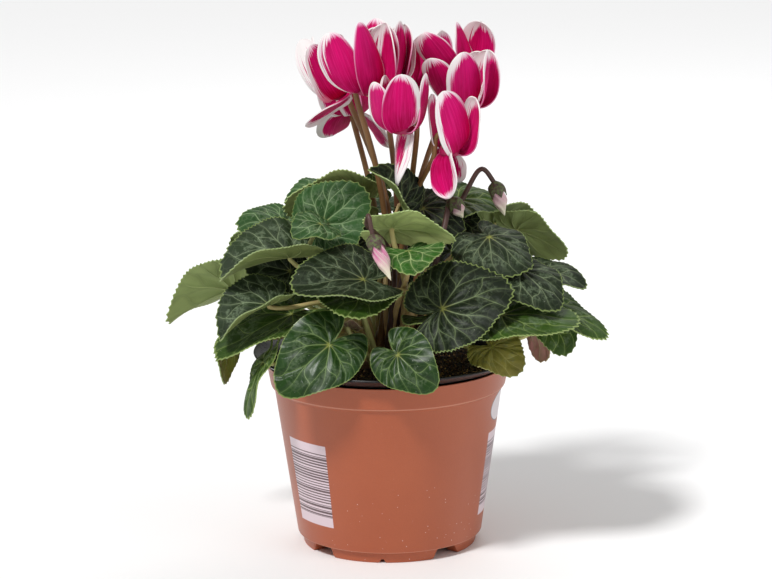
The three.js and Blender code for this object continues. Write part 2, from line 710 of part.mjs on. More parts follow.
// Blades and blooms, each set clear of the fixed pieces, the buds and those already placed
function buildPlant(fixed) {
  const placed = [...fixed, ...BUDS.map(budSolid)];
  const nodes = [];
  for (const leaf of allLeaves()) {
    const guard = bladeSolid(leaf, BLADE_THICKNESS + 2 * GAP, 1.02);
    const moved = setBack(guard, placed);
    leaf.foot.add(moved);
    leaf.tip.add(moved);
    const solid = bladeSolid(leaf, BLADE_THICKNESS);
    placed.push(solid);
    nodes.push({ name: leaf.name, solid, material: LEAF_GREEN, leaf });
  }
  for (const [name, mouth, side, tips] of BLOOMS) {
    const bloom = { mouth: at(mouth), side, tips: tips.map(at) };
    const guard = bloomSolid(bloom, PETAL_THICKNESS + 2 * GAP, GAP);
    bloom.mouth.add(setBack(guard, placed));
    const solid = bloomSolid(bloom, PETAL_THICKNESS, 0);
    placed.push(solid);
    nodes.push({ name, solid, material: PETAL_MAGENTA, bloom });
  }
  return nodes;
}

// The corm with the buds and every stalk, grown together as one
function crownSolid(plant, fixed) {
  const parts = [solidOf(cormGeometry())];
  const grow = (routes, radius, sides) => {
    parts.push(stalkSolid(clearRoute(routes, radius, plant, fixed), radius, sides));
  };
  for (const bud of BUDS) {
    parts.push(budSolid(bud));
    grow(budRoutes(bud), LEAF_STALK_RADIUS, LEAF_STALK_SIDES);
  }
  for (const { leaf, bloom } of plant) {
    if (leaf) {
      grow(leafRoutes(leaf), LEAF_STALK_RADIUS, LEAF_STALK_SIDES);
    } else {
      grow(flowerRoutes(bloom), FLOWER_STALK_RADIUS, FLOWER_STALK_SIDES);
    }
  }
  return joined(parts);
}

const pot = potSolid();
const support = supportSolid();
const soil = soilSolid();
const plant = buildPlant([pot, support, soil]);
const crown = crownSolid(plant, [pot, support]);

const cyclamen = new THREE.Group();
cyclamen.add(meshOf('pot', pot, TERRACOTTA));
cyclamen.add(meshOf('leaf_collar', support, BLACK_PLASTIC));
cyclamen.add(meshOf('soil', soil, SOIL_BROWN));
cyclamen.add(meshOf('corm_and_stalks', crown, STALK_BROWN));
for (const { name, solid, material } of plant) {
  cyclamen.add(meshOf(name, solid, material));
}

export default cyclamen;
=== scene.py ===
"""Looks of the potted cyclamen: pot, collar, soil, corm, stalks, leaf blades, blooms and buds."""
import math
import random

import bmesh
import bpy
import numpy as np
from mathutils import Matrix, Vector, noise
from mathutils.bvhtree import BVHTree


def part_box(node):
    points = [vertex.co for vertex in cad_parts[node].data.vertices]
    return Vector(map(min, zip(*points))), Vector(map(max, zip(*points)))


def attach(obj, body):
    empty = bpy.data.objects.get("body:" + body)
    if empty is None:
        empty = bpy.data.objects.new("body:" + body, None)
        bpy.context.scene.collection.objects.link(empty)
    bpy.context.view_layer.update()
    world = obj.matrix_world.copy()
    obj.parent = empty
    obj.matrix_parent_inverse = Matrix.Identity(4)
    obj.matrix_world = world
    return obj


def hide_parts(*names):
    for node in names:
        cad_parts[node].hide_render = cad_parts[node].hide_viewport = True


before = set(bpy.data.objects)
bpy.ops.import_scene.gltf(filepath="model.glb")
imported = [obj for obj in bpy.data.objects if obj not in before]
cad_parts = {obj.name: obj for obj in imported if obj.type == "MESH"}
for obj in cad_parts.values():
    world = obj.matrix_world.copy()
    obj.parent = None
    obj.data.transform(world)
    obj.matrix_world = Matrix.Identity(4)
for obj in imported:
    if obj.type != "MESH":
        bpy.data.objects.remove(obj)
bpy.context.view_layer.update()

# Sizes are in millimetres and turns in degrees from +X, unless a comment says otherwise.
# GAP lies between the frame's nodes, and POLE is the radius of a closed end
MM = 0.001
GAP = 0.3
POLE = 0.01

# Pot
POT_HEIGHT = 99
RIM_RADIUS = 65
WALL = 1.6
BAND_BOTTOM = 87
BAND_BOTTOM_RADIUS = 62.6
BODY_TOP_RADIUS = 61
BODY_BOTTOM_RADIUS = 49.5
FOOT_HEIGHT = 6
FOOT_RADIUS = 47
FOOT_INNER_RADIUS = 39
FLOOR_BOTTOM = 5
FLOOR_TOP = 8
DRAIN_COUNT = 6
DRAIN_RADIUS = 4.5
DRAIN_CIRCLE = 27
DRAIN_SIDES = 28
DRAIN_CUT = 10
POT_STEP = 2.0

# The foot ring's openings: the turn of each wide gap, and then for a gap and for the notch after
# it: how far round it is from there, its width at the foot and at its top, its height, and how
# far to each side of it the ring has extra edges
FOOT_GAPS = [-50, 40, 130, 220]
FOOT_OPENINGS = [
    (0, 19, 11, FLOOR_BOTTOM, np.linspace(6.2, 12.2, 9)),
    (45, 3.6, 1.44, 2, [0, 0.6, 1.0, 1.4, 1.8]),
]

# Prints: panels by first and last turn from -Y, and the oval's turn and height, with half of how
# far it goes round and up
PANEL_TURNS = [(-65.5, -35.3), (66.5, 96.5)]
PANEL_HEIGHTS = (18, 64)
BAR_HEIGHTS = (23.5, 60)
BAR_PITCH = 1.5
OVAL_MARK = (78, 77, 13, 8)

# Collar, soil and corm. The soil is bare of crumbs within BARE_RINGS, where the corm is, and each
# stalk starts ROOT_DEPTH below the corm's surface
COLLAR_RADIUS = 72
COLLAR_TOP = 105.5
COLLAR_WALL = 1.2
COLLAR_BOTTOM = POT_HEIGHT - 6
COLLAR_BEND = POT_HEIGHT + 0.5
SKIRT_RADIUS = RIM_RADIUS - WALL - GAP - 0.3
SKIRT_TAPER = 0.7
COLLAR_STEP = 2.5
SOIL_RADIUS = SKIRT_RADIUS - COLLAR_WALL - SKIRT_TAPER - GAP
SOIL_LEVEL = 96
SOIL_MOUND = 2
MOUND_SPREAD = 40
SOIL_STEP = 3.0
SOIL_RINGS = 22
BARE_RINGS = 8
CORM_RADIUS = 25
CORM_HALF_HEIGHT = 12
CORM_CENTRE = 92
ROOT_DEPTH = 3

# The soil's lumps by layer, scale and height, and the corm's knobs by scale and depth
SOIL_LUMPS = [(3, 0.09, 1.1), (9, 0.3, 0.6)]
CORM_KNOBS = [(3.1, 0.06), (9, 0.03)]

# Crumbs: how many on a square metre, the smallest and largest radius in metres, and the seed.
# The collar has them only between two turns
SOIL_CRUMBS = {"Density": 260000.0, "Smallest": 0.0004, "Largest": 0.0011, "Seed": 11}
COLLAR_CRUMBS = {"Density": 420000.0, "Smallest": 0.0002, "Largest": 0.0007, "Seed": 4}
CRUMBED_TURNS = (-76, -34)

# Stalks: the radii at root and end, the shares of them that a stalk may have, how much thicker
# its foot is, and then the sizes that the frame's routes allow for
LEAF_STALK_RADII = (1.65, 1.25)
FLOWER_STALK_RADII = (1.65, 1.3)
BUD_STALK_RADII = (1.6, 1.25)
STALK_THICKNESS = (0.88, 1.08)
STALK_FOOT = 0.25
STALK_SIDES = 12
FRAME_LEAF_STALK = 1.5
FRAME_FLOWER_STALK = 1.8
FRAME_BLADE = 0.8
CLEAR = GAP + 0.15

# The ways that a stalk's route may take in the frame, and how far from the surface of the frame's
# stalk counts as on it
ROOT_CIRCLES = [8, 19, 14]
SLANTS = [0.5, 0, 0.9, -0.5]
RISES = [0.5, 0.35, 0.65, 0.2, 0.8]
BENDS = [0, 6, -6, 12, -12, 18, -18, 26, -26, 34, -34]
BEND_SHARES = [0.5, 0.7]
BEND_ASIDES = [0, 6, 12, 18, 24]
AIM_STEP = 30
LEAF_ROUTE_POINTS = 22
STEM_POINTS = 28
FLOWER_ROOT_CIRCLE = 8
BUD_ROOT_CIRCLE = 12
ON_STALK = 0.9

# A flower stalk's hook over the throat: share of the way from the bloom's axis, and the height.
# Then how many points a hook has, and how often the bends below it are eased
HOOK = [(1.0, -2.5), (0.95, 0.8), (0.68, 3.3), (0.3, 3.9), (0.05, 2.4), (0.0, -0.2)]
HOOK_POINTS = 22
BUD_HOOK_POINTS = 18
STEM_EASING = 40
BUD_EASING = 8

# Leaf blades, with angles in radians. HEART is how far the edge stands from the foot, as shares of
# the midrib, for 1, the cosine of the angle from the midrib, and that of twice the angle. The fold
# at the midrib is RIB_SOFTNESS wide, EDGE_POINTS find a blade's box, and BLADE_SHARES are its rings
# of points by their share of the way out
HEART = [0.62, 0.09, 0.02]
TIP_REACH = 0.27
TIP_WIDTH = 0.45
NOTCH_DEPTH = 0.85
NOTCH_ANGLE = 0.28
RIB_SOFTNESS = 1.5
EDGE_WAVES = 5
EDGE_POINTS = 21
BLADE_ARCH = 2.2
BLADE_WAVE = 1.1
BLADE_THICKNESS = 0.6
BLADE_SHARES = [0.06, 0.18, 0.32, 0.46, 0.6, 0.74, 0.86, 0.93, 0.975, 1.0]
LEAF_SEED = 20.0

# Teeth: how many midribs long a blade's rim is, how far apart teeth are, the fewest and the most
# of them, their depth as a share of the midrib, and the rise and fall of one
RIM_LENGTH = 3.1
TOOTH_PITCH = 1.7
TOOTH_LIMITS = (24, 76)
TOOTH_DEPTH = 0.021
TOOTH_SHAPE = [1.0, -0.2, -0.8]

# Veins: how far apart they leave the foot in radians, how much closer they are at the edge, how
# far they sway in radians, and how high the blade stands between them
VEIN_SPACING = math.radians(44)
VEIN_SWEEP = 0.24
VEIN_SWAY = 0.07
PUCKER = 0.8

# Ribs under a blade: which veins have one, the shares of the way out where its points lie, and its
# radius at the foot and at the end in a leaf whose midrib is RIB_LENGTH
RIB_TURNS = range(-4, 5)
RIB_SHARES = [0.0, 0.1, 0.22, 0.36, 0.5, 0.63, 0.75, 0.86]
RIB_RADII = (0.65, 0.15)
RIB_SIDES = 6
RIB_LENGTH = 40

# Petals: PETAL_WIDEST is a share of the length. The root lies in from the throat's side and up from
# the mouth, and the petal swings out towards PETAL_BELLY from the throat. Its cup and its wave are
# shares of its half width, and its twist is in radians
PETAL_THICKNESS = 0.6
PETAL_WIDTH = 20
PETAL_ROOT_WIDTH = 8
PETAL_WIDEST = 0.72
PETAL_ROOT_IN = 2
PETAL_ROOT_UP = 3
PETAL_BELLY = 4
PETAL_CUP = 0.18
PETAL_TWIST = 0.4
PETAL_WAVE = 0.14
PETAL_ROWS = 28
PETAL_COLUMNS = 13

# What sets one petal apart: where its ruffle starts, how far it bows aside, how much further it
# turns over towards the tip, how much wider one half is, and how deep and how full its cup is
PETAL_HABITS = {
    "ruffle": (0, 6),
    "bow": (-2.0, 2.0),
    "turn": (-0.22, 0.22),
    "lean": (-0.16, 0.16),
    "cup": (0.8, 1.5),
    "crown": (1.4, 2.2),
}

# Blooms: the rings of throat and pistil by radius and height over the mouth, from inside the
# throat to its tip, then how far round its petals spread and how far from the stalk they start.
# A fifth petal's tip stands out of its gap, and would be longer than LONG_PETAL if the two beside
# it point the same way
THROAT_RADIUS = 5.5
THROAT_HEIGHT = 8
THROAT_STEP = 12.0
THROAT_RINGS = [
    (POLE, 3.6), (2.4, 3.2), (3.3, 1.0), (4.0, 0.1), (4.9, 0.0), (5.5, 0.6), (5.5, 2.2),
    (5.2, 4.0), (4.3, 5.76), (3.0, 7.2), (1.6, 8.0), (POLE, 8.1),
]
PISTIL_RINGS = [(POLE, -1.2), (0.55, -1.0), (0.4, 0.5), (0.5, 3.6), (POLE, 3.8)]
PISTIL_STEP = 45.0
FLOWER_PARTS = 5
PETAL_SPREAD = 256
STALK_SPACING = 52
FIFTH_PETAL_OUT = 4
LONG_PETAL = 20
BLOOM_FINISHES = ["petal", "throat", "pistil", "calyx"]

# Sepals over a throat: how far from its axis one starts and how much further it reaches, how high
# over the throat it starts and how far it drops, and half its width
SEPAL_THICKNESS = 0.4
SEPAL_START = 1.2
SEPAL_REACH = 4.6
SEPAL_UP = 0.6
SEPAL_DROP = 4.6
SEPAL_HALF_WIDTH = 1.9
SEPAL_ROWS = 6
SEPAL_COLUMNS = 5

# Buds, with turns in radians. BUD_PINKS is how pink each one is. A calyx has a neck behind the bud
# and reaches CALYX_DEPTH along it, its points CALYX_POINTS further
BUD_RADIUS = 3.6
BUD_TWIST = 2.6
BUD_ROWS = 26
BUD_COLUMNS = 30
BUD_TURNS = np.linspace(0, 2 * math.pi, BUD_COLUMNS, endpoint=False)
BUD_PINKS = [0.9, 0.6, 0.3]
BUD_IN_CALYX = 2
CALYX_THICKNESS = 0.45
CALYX_RADIUS = 4.1
CALYX_ROWS = 12
CALYX_NECK = 1.2
CALYX_DEPTH = 4.4
CALYX_POINTS = 3.2

# The way along which a leaf or bloom may stand back from its first place, the step of it, and how
# many steps each way are tried for a bloom
BACKWARD = np.array([0, 0.977, -0.215])
BACK_STEP = 1.5
BACK_TRIES = 24

# Camera: distance and target in metres, and its height and roll in degrees
VIEW_DISTANCE = 1.6
VIEW_TARGET = (-0.0006, 0, 0.1375)
VIEW_HEIGHT = 12.4
VIEW_ROLL = -0.65
LENS = 140.1
SENSOR_WIDTH = 36

# Lights: name, kind, place in metres, power, and how wide each is
LIGHTS = [
    ("key_light", "SUN", (-0.8, -1.1, 1.9), 2.35, {"angle": math.radians(10)}),
    ("fill_light", "AREA", (1.2, -0.9, 0.7), 3.2, {"size": 0.9}),
    ("back_light", "AREA", (0.3, 1.1, 1.3), 6, {"size": 0.9}),
]
LIGHT_AIM = (0, 0, 0.15)
SKY_STRENGTH = 0.4
FLOOR_HALF = 4000

# Leaf looks: ground and vein colour, underside colour, how strong the veins are, how strong the
# silver between them is, roughness, and how deep the teeth are
LEAF_LOOKS = {
    "dark": ("#111b0b", "#8b9d6c", "#828f55", 0.45, 0.2, 0.45, 1.0),
    "grey": ("#1d2816", "#8b9a75", "#828f55", 0.5, 0.35, 0.5, 0.8),
    "frosted": ("#28371f", "#9aab84", "#828f55", 0.5, 0.55, 0.5, 1.0),
    "bright": ("#334d17", "#a3b96b", "#94a366", 0.5, 0.4, 0.45, 1.0),
    "veined": ("#2e5a1d", "#b9cc8c", "#94a366", 0.8, 0.2, 0.45, 1.0),
    "silver": ("#315428", "#a0bb88", "#94a366", 0.6, 0.45, 0.5, 1.0),
    "glossy": ("#1c3a0e", "#849c5f", "#828f55", 0.45, 0.3, 0.25, 0.3),
    "pale": ("#24421a", "#93ad75", "#98a96a", 0.6, 0.3, 0.5, 1.0),
    "light": ("#2b4a1e", "#93ad75", "#b5c47e", 0.6, 0.3, 0.5, 1.0),
    "olive": ("#33501f", "#93ad75", "#768330", 0.5, 0.1, 0.5, 0.7),
    "yellow": ("#958d45", "#c9bf7d", "#a39f5c", 0.4, 0.3, 0.35, 1.0),
    "red": ("#5a4331", "#9a8468", "#8c6560", 0.4, 0.1, 0.5, 1.0),
    "pink": ("#5b4638", "#9a8468", "#b0837e", 0.4, 0.1, 0.5, 1.0),
}

# Leaves front to back: foot of the midrib, tip, the way the upper side faces,
# the angle that each half is raised from flat, the width as a share of the usual width, the look
LEAVES = [
    ("leaf_big_right", (28, -64, 141), (64, -60, 151), (0, -0.75, 0.66), 0, 1.1, "dark"),
    ("leaf_front_under", (-14, -44, 146), (-18, -78, 139), (0, -0.3, 0.95), 0, 1.05, "bright"),
    ("leaf_front_edge", (26, -46, 133), (50, -68, 127), (0, -0.15, 0.98), 6, 1, "bright"),
    ("leaf_front_bright", (11, -58, 170), (14, -82, 163), (0, -0.55, 0.83), 8, 1.2, "veined"),
    ("leaf_hanging_middle", (5, -71, 119), (24, -81, 103), (-0.1, -0.95, 0.3), 0, 1, "glossy"),
    ("leaf_hanging_left", (-30, -56, 121), (-56, -66, 98), (-0.2, -0.9, 0.35), 0, 0.95, "glossy"),
    ("leaf_big_left", (-12, -52, 154), (-49, -62, 152), (0, -0.4, 0.92), 12, 1.1, "grey"),
    ("leaf_right_ridge", (69, -46, 157), (86, -66, 139), (0.3, -0.5, 0.8), -8, 1.1, "grey"),
    ("leaf_right_low", (59, -50, 134), (99, -52, 130), (0.1, -0.28, 0.95), 0, 1, "bright"),
    ("leaf_yellow", (54, -46, 116), (68, -58, 105), (0, -0.7, 0.7), 0, 1.1, "yellow"),
    ("leaf_small_red", (-21, -46, 128), (-34, -53, 125), (0, 0.3, 0.9), 20, 0.9, "red"),
    ("leaf_left_low", (-62, -40, 139), (-87, -48, 123), (-0.2, -0.25, 0.95), 34, 1.2, "frosted"),
    ("leaf_left_long", (-50, -34, 132), (-90, -42, 112), (0.1, -0.25, 0.95), 10, 0.8, "bright"),
    ("leaf_hanging_edge", (-65, -40, 108), (-73, -48, 80), (-0.95, -0.25, 0.1), 0, 0.8, "bright"),
    ("leaf_right_upper", (53, -38, 173), (72, -52, 157), (0.25, -0.6, 0.75), -20, 1.3, "grey"),
    ("leaf_pale_middle", (3, -47, 180), (35, -49, 173), (0, 0.6, 0.8), 0, 1, "light"),
    ("leaf_silver", (-33, -32, 180), (-10, -28, 197), (0.1, -0.8, 0.55), 0, 1.2, "silver"),
    ("leaf_small_left", (-34, -26, 178), (-48, -36, 174), (-0.1, -0.6, 0.8), 0, 1.2, "silver"),
    ("leaf_left_middle", (-51, -34, 163), (-87, -40, 153), (0, -0.12, 0.99), 34, 1.2, "frosted"),
    ("leaf_dark_middle", (19, -30, 187), (39, -40, 174), (0.3, -0.7, 0.6), 0, 1.1, "dark"),
    ("leaf_dark_left", (-10, -14, 168), (-40, -22, 167), (0, -0.5, 0.85), 0, 1.1, "dark"),
    ("leaf_right_tip", (83, -30, 136), (115, -33, 117), (0.35, -0.2, 0.9), 0, 1, "bright"),
    ("leaf_right_hanging", (86, -18, 127), (94, -24, 106), (0.3, -0.9, 0.2), 0, 1, "bright"),
    ("leaf_grey_right", (78, -18, 150), (105, -20, 143), (0.1, -0.25, 0.95), 0, 1, "grey"),
    ("leaf_cup", (8, -18, 187), (-8, -20, 206), (0.6, -0.4, 0.6), 40, 1.1, "dark"),
    ("leaf_left_upper", (-54, -10, 175), (-79, -16, 176), (-0.1, -0.5, 0.85), 0, 1.1, "silver"),
    ("leaf_olive_hanging", (-82, -8, 116), (-86, -14, 90), (-0.85, 0.45, 0.2), 0, 0.9, "olive"),
    ("leaf_top_pale", (-20, -2, 187), (-54, -10, 184), (-0.1, 0.75, 0.65), 0, 1.1, "light"),
    ("leaf_top_right", (38, -2, 186), (60, 2, 182), (0, -0.35, 0.93), 0, 1.2, "bright"),
    ("leaf_top_left", (-32, 12, 188), (-54, 8, 185), (-0.2, -0.4, 0.9), 0, 1.2, "silver"),
    ("leaf_right_inside", (34, -12, 160), (66, -18, 152), (0, -0.3, 0.95), 0, 1.1, "dark"),
    ("leaf_far_left", (-83, 6, 137), (-117, 2, 120), (0, 0.58, 0.82), 23, 1.1, "pale"),
    ("leaf_pink", (78, 6, 113), (82, 10, 94), (0.75, 0.6, 0.2), 0, 1, "pink"),
    ("leaf_far_right", (70, 14, 166), (96, 6, 153), (0.2, 0.7, 0.7), 0, 1.1, "pale"),
    ("leaf_right_top", (58, 20, 169), (86, 28, 160), (0.1, 0.75, 0.65), 0, 1.1, "pale"),
    ("leaf_pale_left", (-64, 14, 162), (-84, 22, 155), (-0.2, 0.7, 0.6), 0, 1.1, "pale"),
]

# Rings of leaves round the back: name, how many, first and last turn from +X, how far their
# feet stand from the axis, at what height, their length, and how steeply they hang. Every second
# one stands BACK_STAGGER higher
BACK_RINGS = [
    ("leaf_back_low", 4, 30, 150, 60, 124, 34, 0.75),
    ("leaf_back_middle", 4, 17, 163, 50, 150, 38, 0.4),
    ("leaf_back_top", 3, 45, 135, 26, 172, 33, 0.15),
]
BACK_STAGGER = 7
BACK_LOOKS = ["dark", "silver", "bright", "grey"]

# Young leaves deep among the others, which the frame leaves out: foot, tip, facing and look. Each
# half is raised by YOUNG_FOLD
YOUNG_LEAVES = [
    ((-51, -15, 151), (-75, -18, 155), (0.19, -0.74, 0.64), "grey"),
    ((41, -5, 175), (51, -15, 169), (-0.46, -0.78, 0.42), "dark"),
    ((-9, 25, 132), (-13, 36, 138), (0.38, -0.33, 0.87), "dark"),
    ((1, 25, 117), (-5, 29, 127), (-0.28, -0.94, 0.21), "silver"),
    ((-3, 15, 190), (-15, 18, 189), (-0.22, -0.73, 0.64), "bright"),
    ((7, 23, 148), (25, 12, 145), (-0.47, -0.86, 0.21), "dark"),
]
YOUNG_FOLD = 14

# Blooms: mouth, the side where the stalk passes, each petal's tip from the mouth,
# counter-clockwise from that side, and how wide each petal's white margin is and at which side
# of it: 1 for its own right, -1 for its own left, 0 for both
BLOOMS = [
    ("bloom_front_right", (33, -36, 216), 190,
     [(-1, -14, -20), (-4, -14, 35), (13, -10, 31), (2, 12, -16), (-9, 4, 31)],
     [(3, 1), (3, -1), (4.5, 1), (4, -1), (5, 1)]),
    ("bloom_front_middle", (9, -34, 227), 20,
     [(-3, -2, -27), (-9, 6, 29), (-13, -12, 28), (-1, -18, 33), (12, 4, 30)],
     [(4.5, 0), (4, 1), (2, -1), (2.2, 1), (5, 1)]),
    ("bloom_front_left", (-9, -22, 246), 150,
     [(-19, -12, 34), (-4, -13, 39), (10, -8, 38), (5, 6, 34)],
     [(2.5, -1), (1, 1), (4.5, 1), (3, -1)]),
    ("bloom_right", (43, -6, 235), 120,
     [(-19, -14, 29), (-3, -16, 32), (10, -8, 32), (6, 10, 29)],
     [(3, -1), (2.5, -1), (5, 1), (4, 1)]),
    ("bloom_left", (-24, 2, 240), 60,
     [(0, 10, 33), (-20, 10, 30), (-15, -14, 30), (-17, -26, -9)],
     [(4, 1), (6, 0), (2.5, -1), (3.5, 1)]),
    ("bloom_inner", (0, 8, 245), 100,
     [(-8, 5, 33), (-4, -5, 37), (8, -8, 36), (6, 10, 30)],
     [(3, -1), (2, 1), (3, 1), (3, -1)]),
    ("bloom_back_middle", (9, 30, 239), 80,
     [(-2, 12, 32), (-8, 4, 33), (4, -11, 30), (13, -2, 31)],
     [(3, 1), (3, -1), (4, -1), (4, 1)]),
    ("bloom_back_right", (40, 24, 249), 90,
     [(-9, 12, 22), (-19, -12, 24), (-2, -8, 29), (11, -8, 29)],
     [(3, 1), (2.5, -1), (2.5, 1), (5, 1)]),
    ("bloom_low", (-17, 30, 227), 100,
     [(-13, 16, -14), (-10, 0, 23), (8, 2, 23), (19, 12, -20)],
     [(3, 1), (3, -1), (3, 1), (3.5, -1)]),
]

# Petals whose turn at the tip is set one by one, in radians, by their bloom and number
TURNED_PETALS = {
    ("bloom_front_right", 1): -0.55,
    ("bloom_front_middle", 0): 0.8,
    ("bloom_front_left", 0): 0.8,
    ("bloom_front_left", 1): 0.3,
    ("bloom_right", 0): 0.85,
    ("bloom_right", 1): 0.5,
}

# Buds: the hook's foot, its top, the calyx and the tip
BUDS = [
    ((-10, -68, 186), (-9, -76, 193), (-7, -79, 182), (2, -82, 160)),
    ((33, -24, 190), (33, -24, 199), (34, -26, 191), (40, -27, 181)),
    ((41, -14, 190), (50, -16, 206), (57, -16, 197), (62, -17, 180)),
]


def linear(code):
    """A colour written #rrggbb, as the linear red, green and blue that shaders take."""
    shares = [int(code[i:i + 2], 16) / 255 for i in (1, 3, 5)]
    return tuple(s / 12.92 if s <= 0.04045 else ((s + 0.055) / 1.055) ** 2.4 for s in shares)


def point(values):
    """A place or a direction, as an array of numbers."""
    return np.array(values, dtype=float)


def unit(vector):
    """The vector's direction, as a vector of length 1."""
    return vector / np.linalg.norm(vector)


def turned(degrees, radius=1.0, height=0.0):
    """A point at a turn about +Z from +X."""
    turn = math.radians(degrees)
    return np.array([radius * math.cos(turn), radius * math.sin(turn), height])


def smoothstep(values, low, high):
    """0 below low, 1 above high, and smooth between them."""
    share = np.clip((np.asarray(values, dtype=float) - low) / (high - low), 0, 1)
    return share * share * (3 - 2 * share)


# Node trees
def arithmetic(operation, reflected=False):
    """A method of Value that adds the Math node of an operator."""

    def method(value, other):
        terms = (other, value) if reflected else (value, other)
        return value.tree.maths(operation, *terms)

    return method


class Value:
    """A socket of a tree. Arithmetic on it adds Math nodes."""

    __add__ = arithmetic("ADD")
    __radd__ = arithmetic("ADD", reflected=True)
    __sub__ = arithmetic("SUBTRACT")
    __rsub__ = arithmetic("SUBTRACT", reflected=True)
    __mul__ = arithmetic("MULTIPLY")
    __rmul__ = arithmetic("MULTIPLY", reflected=True)
    __truediv__ = arithmetic("DIVIDE")
    least = arithmetic("MINIMUM")
    most = arithmetic("MAXIMUM")

    def __init__(self, tree, socket):
        self.tree = tree
        self.socket = socket

    def __abs__(self):
        return self.tree.maths("ABSOLUTE", self)

    def other(self, output):
        """Another output of the node that this socket is on."""
        return Value(self.tree, self.socket.node.outputs[output])


class Tree:
    """Adds nodes to a node tree: a node's settings first, then its sockets' values or links."""

    def __init__(self, tree):
        self.nodes = tree.nodes
        self.links = tree.links

    def node(self, kind, settings=None, inputs=(), output=0):
        made = self.nodes.new(kind)
        for name, setting in (settings or {}).items():
            setattr(made, name, setting)
        named = inputs.items() if isinstance(inputs, dict) else enumerate(inputs)
        for name, value in named:
            self.plug(made.inputs[name], value)
        return Value(self, made.outputs[output]) if made.outputs else made

    def plug(self, socket, value):
        if isinstance(value, Value):
            self.links.new(value.socket, socket)
        else:
            socket.default_value = value

    def maths(self, operation, *terms):
        return self.node("ShaderNodeMath", {"operation": operation}, terms)

    def scaled(self, vector, scale):
        return self.node("ShaderNodeVectorMath", {"operation": "SCALE"}, {0: vector, "Scale": scale})


class Finish(Tree):
    """A material's tree, with the helpers that its patterns are written with."""

    def __init__(self, name, **constants):
        self.material = bpy.data.materials.new(name)
        self.material.use_nodes = True
        super().__init__(self.material.node_tree)
        self.shader = self.nodes["Principled BSDF"]
        for socket, value in constants.items():
            self.set(socket.replace("_", " "), value)

    def set(self, socket, value):
        self.plug(self.shader.inputs[socket], value)

    def place(self):
        """Object coordinates in millimetres."""
        return self.scaled(self.node("ShaderNodeTexCoord", output="Object"), 1 / MM)

    def attribute(self, name, output="Vector"):
        return self.node("ShaderNodeAttribute", {"attribute_name": name}, output=output)

    def split(self, vector):
        x = self.node("ShaderNodeSeparateXYZ", inputs=[vector])
        return x, x.other(1), x.other(2)

    def joined(self, x, y, z):
        return self.node("ShaderNodeCombineXYZ", inputs=[x, y, z])

    def noise(self, vector, scale, detail=2.0):
        return self.node("ShaderNodeTexNoise", inputs={"Vector": vector, "Scale": scale, "Detail": detail})

    def cells(self, vector, scale, feature="F1"):
        """How far a point is from the middle of its cell, or from the cell's edge."""
        inputs = {"Vector": vector, "Scale": scale}
        return self.node("ShaderNodeTexVoronoi", {"feature": feature}, inputs, "Distance")

    def rise(self, value, low, high):
        """0 below low, 1 above high, and smooth between them."""
        settings = {"interpolation_type": "SMOOTHSTEP"}
        return self.node("ShaderNodeMapRange", settings, {0: value, 1: low, 2: high})

    def fall(self, value, low, high):
        """1 below low, 0 above high, and smooth between them."""
        return 1 - self.rise(value, low, high)

    def within(self, value, low, high, soft):
        return self.rise(value, low - soft, low + soft) * self.fall(value, high - soft, high + soft)

    def blend(self, share, first, second):
        first, second = (c if isinstance(c, Value) else (*linear(c), 1) for c in (first, second))
        return self.node("ShaderNodeMix", {"data_type": "RGBA"}, {0: share, 6: first, 7: second}, output=2)

    def relief(self, height, strength, distance):
        """Bumps of that height, the distance in metres."""
        inputs = {"Height": height, "Strength": strength, "Distance": distance}
        self.set("Normal", self.node("ShaderNodeBump", inputs=inputs))


# Finishes
def pot_finish():
    """Moulded terracotta-coloured plastic, with painted highlights along its ridge and at the foot's edge,
    prints and a little dust.
    """
    f = Finish("terracotta_plastic")
    where = f.place()
    x, y, z = f.split(where)
    around = f.maths("ARCTAN2", x, 0 - y) * (180 / math.pi)
    cloud = f.noise(where, 0.03, 3)
    body = f.blend(cloud, "#a3502f", "#b25d39")
    body = f.blend(f.rise(f.noise(where, 1.6, 2), 0.3, 0.75) * 0.15, body, "#8a422b")
    body = with_prints(f, body, around, z)
    dusty = f.within(around, -20, 75, 25) * f.fall(z, 15, 45) + 0.2
    specks = f.fall(f.cells(where, 0.3), 0.05, 0.09) * f.rise(dusty * f.noise(where, 0.09, 0), 0.1, 0.25)
    body = f.blend(specks * 0.7, body, "#e8dcd4")
    # Painted highlights: pale lines along the band's lower ridge and the foot's upper edge, where those
    # edges catch the light
    ridge = f.within(z, BAND_BOTTOM - 0.2, BAND_BOTTOM + 0.5, 0.15)
    foot = f.within(z, FOOT_HEIGHT - 0.1, FOOT_HEIGHT + 0.5, 0.15)
    f.set("Base Color", f.blend(ridge * 0.4 + foot * 0.35, body, "#dba58c"))
    f.set("Roughness", 0.33 + cloud * 0.12)
    f.relief(f.noise(where, 2.2, 3), 0.12, 0.0004)
    return f.material


def with_prints(f, body, around, z):
    """The body's colour with the striped panels over it, and the oval with nothing in it."""
    line = z / BAR_PITCH
    thick = f.node("ShaderNodeTexWhiteNoise", {"noise_dimensions": "1D"}, {"W": f.maths("FLOOR", line)})
    bars = f.fall(f.maths("FRACT", line) - thick * 0.65, 0.18, 0.3)
    ink = f.blend(bars * f.within(z, *BAR_HEIGHTS, 0.1) * 0.92, "#e0d0d8", "#3c2c35")
    for low, high in PANEL_TURNS:
        panel = f.within(around, low, high, 0.2) * f.within(z, *PANEL_HEIGHTS, 0.15)
        body = f.blend(panel * 0.93, body, ink)
    turn, height, wide, high = OVAL_MARK
    across = (around - turn) / wide
    up = (z - height) / high
    ring = across * across + up * up
    body = f.blend(f.fall(ring, 0.97, 1.03), body, "#6e6a6c")
    return f.blend(f.fall(ring, 0.86, 0.92), body, "#d8ced2")


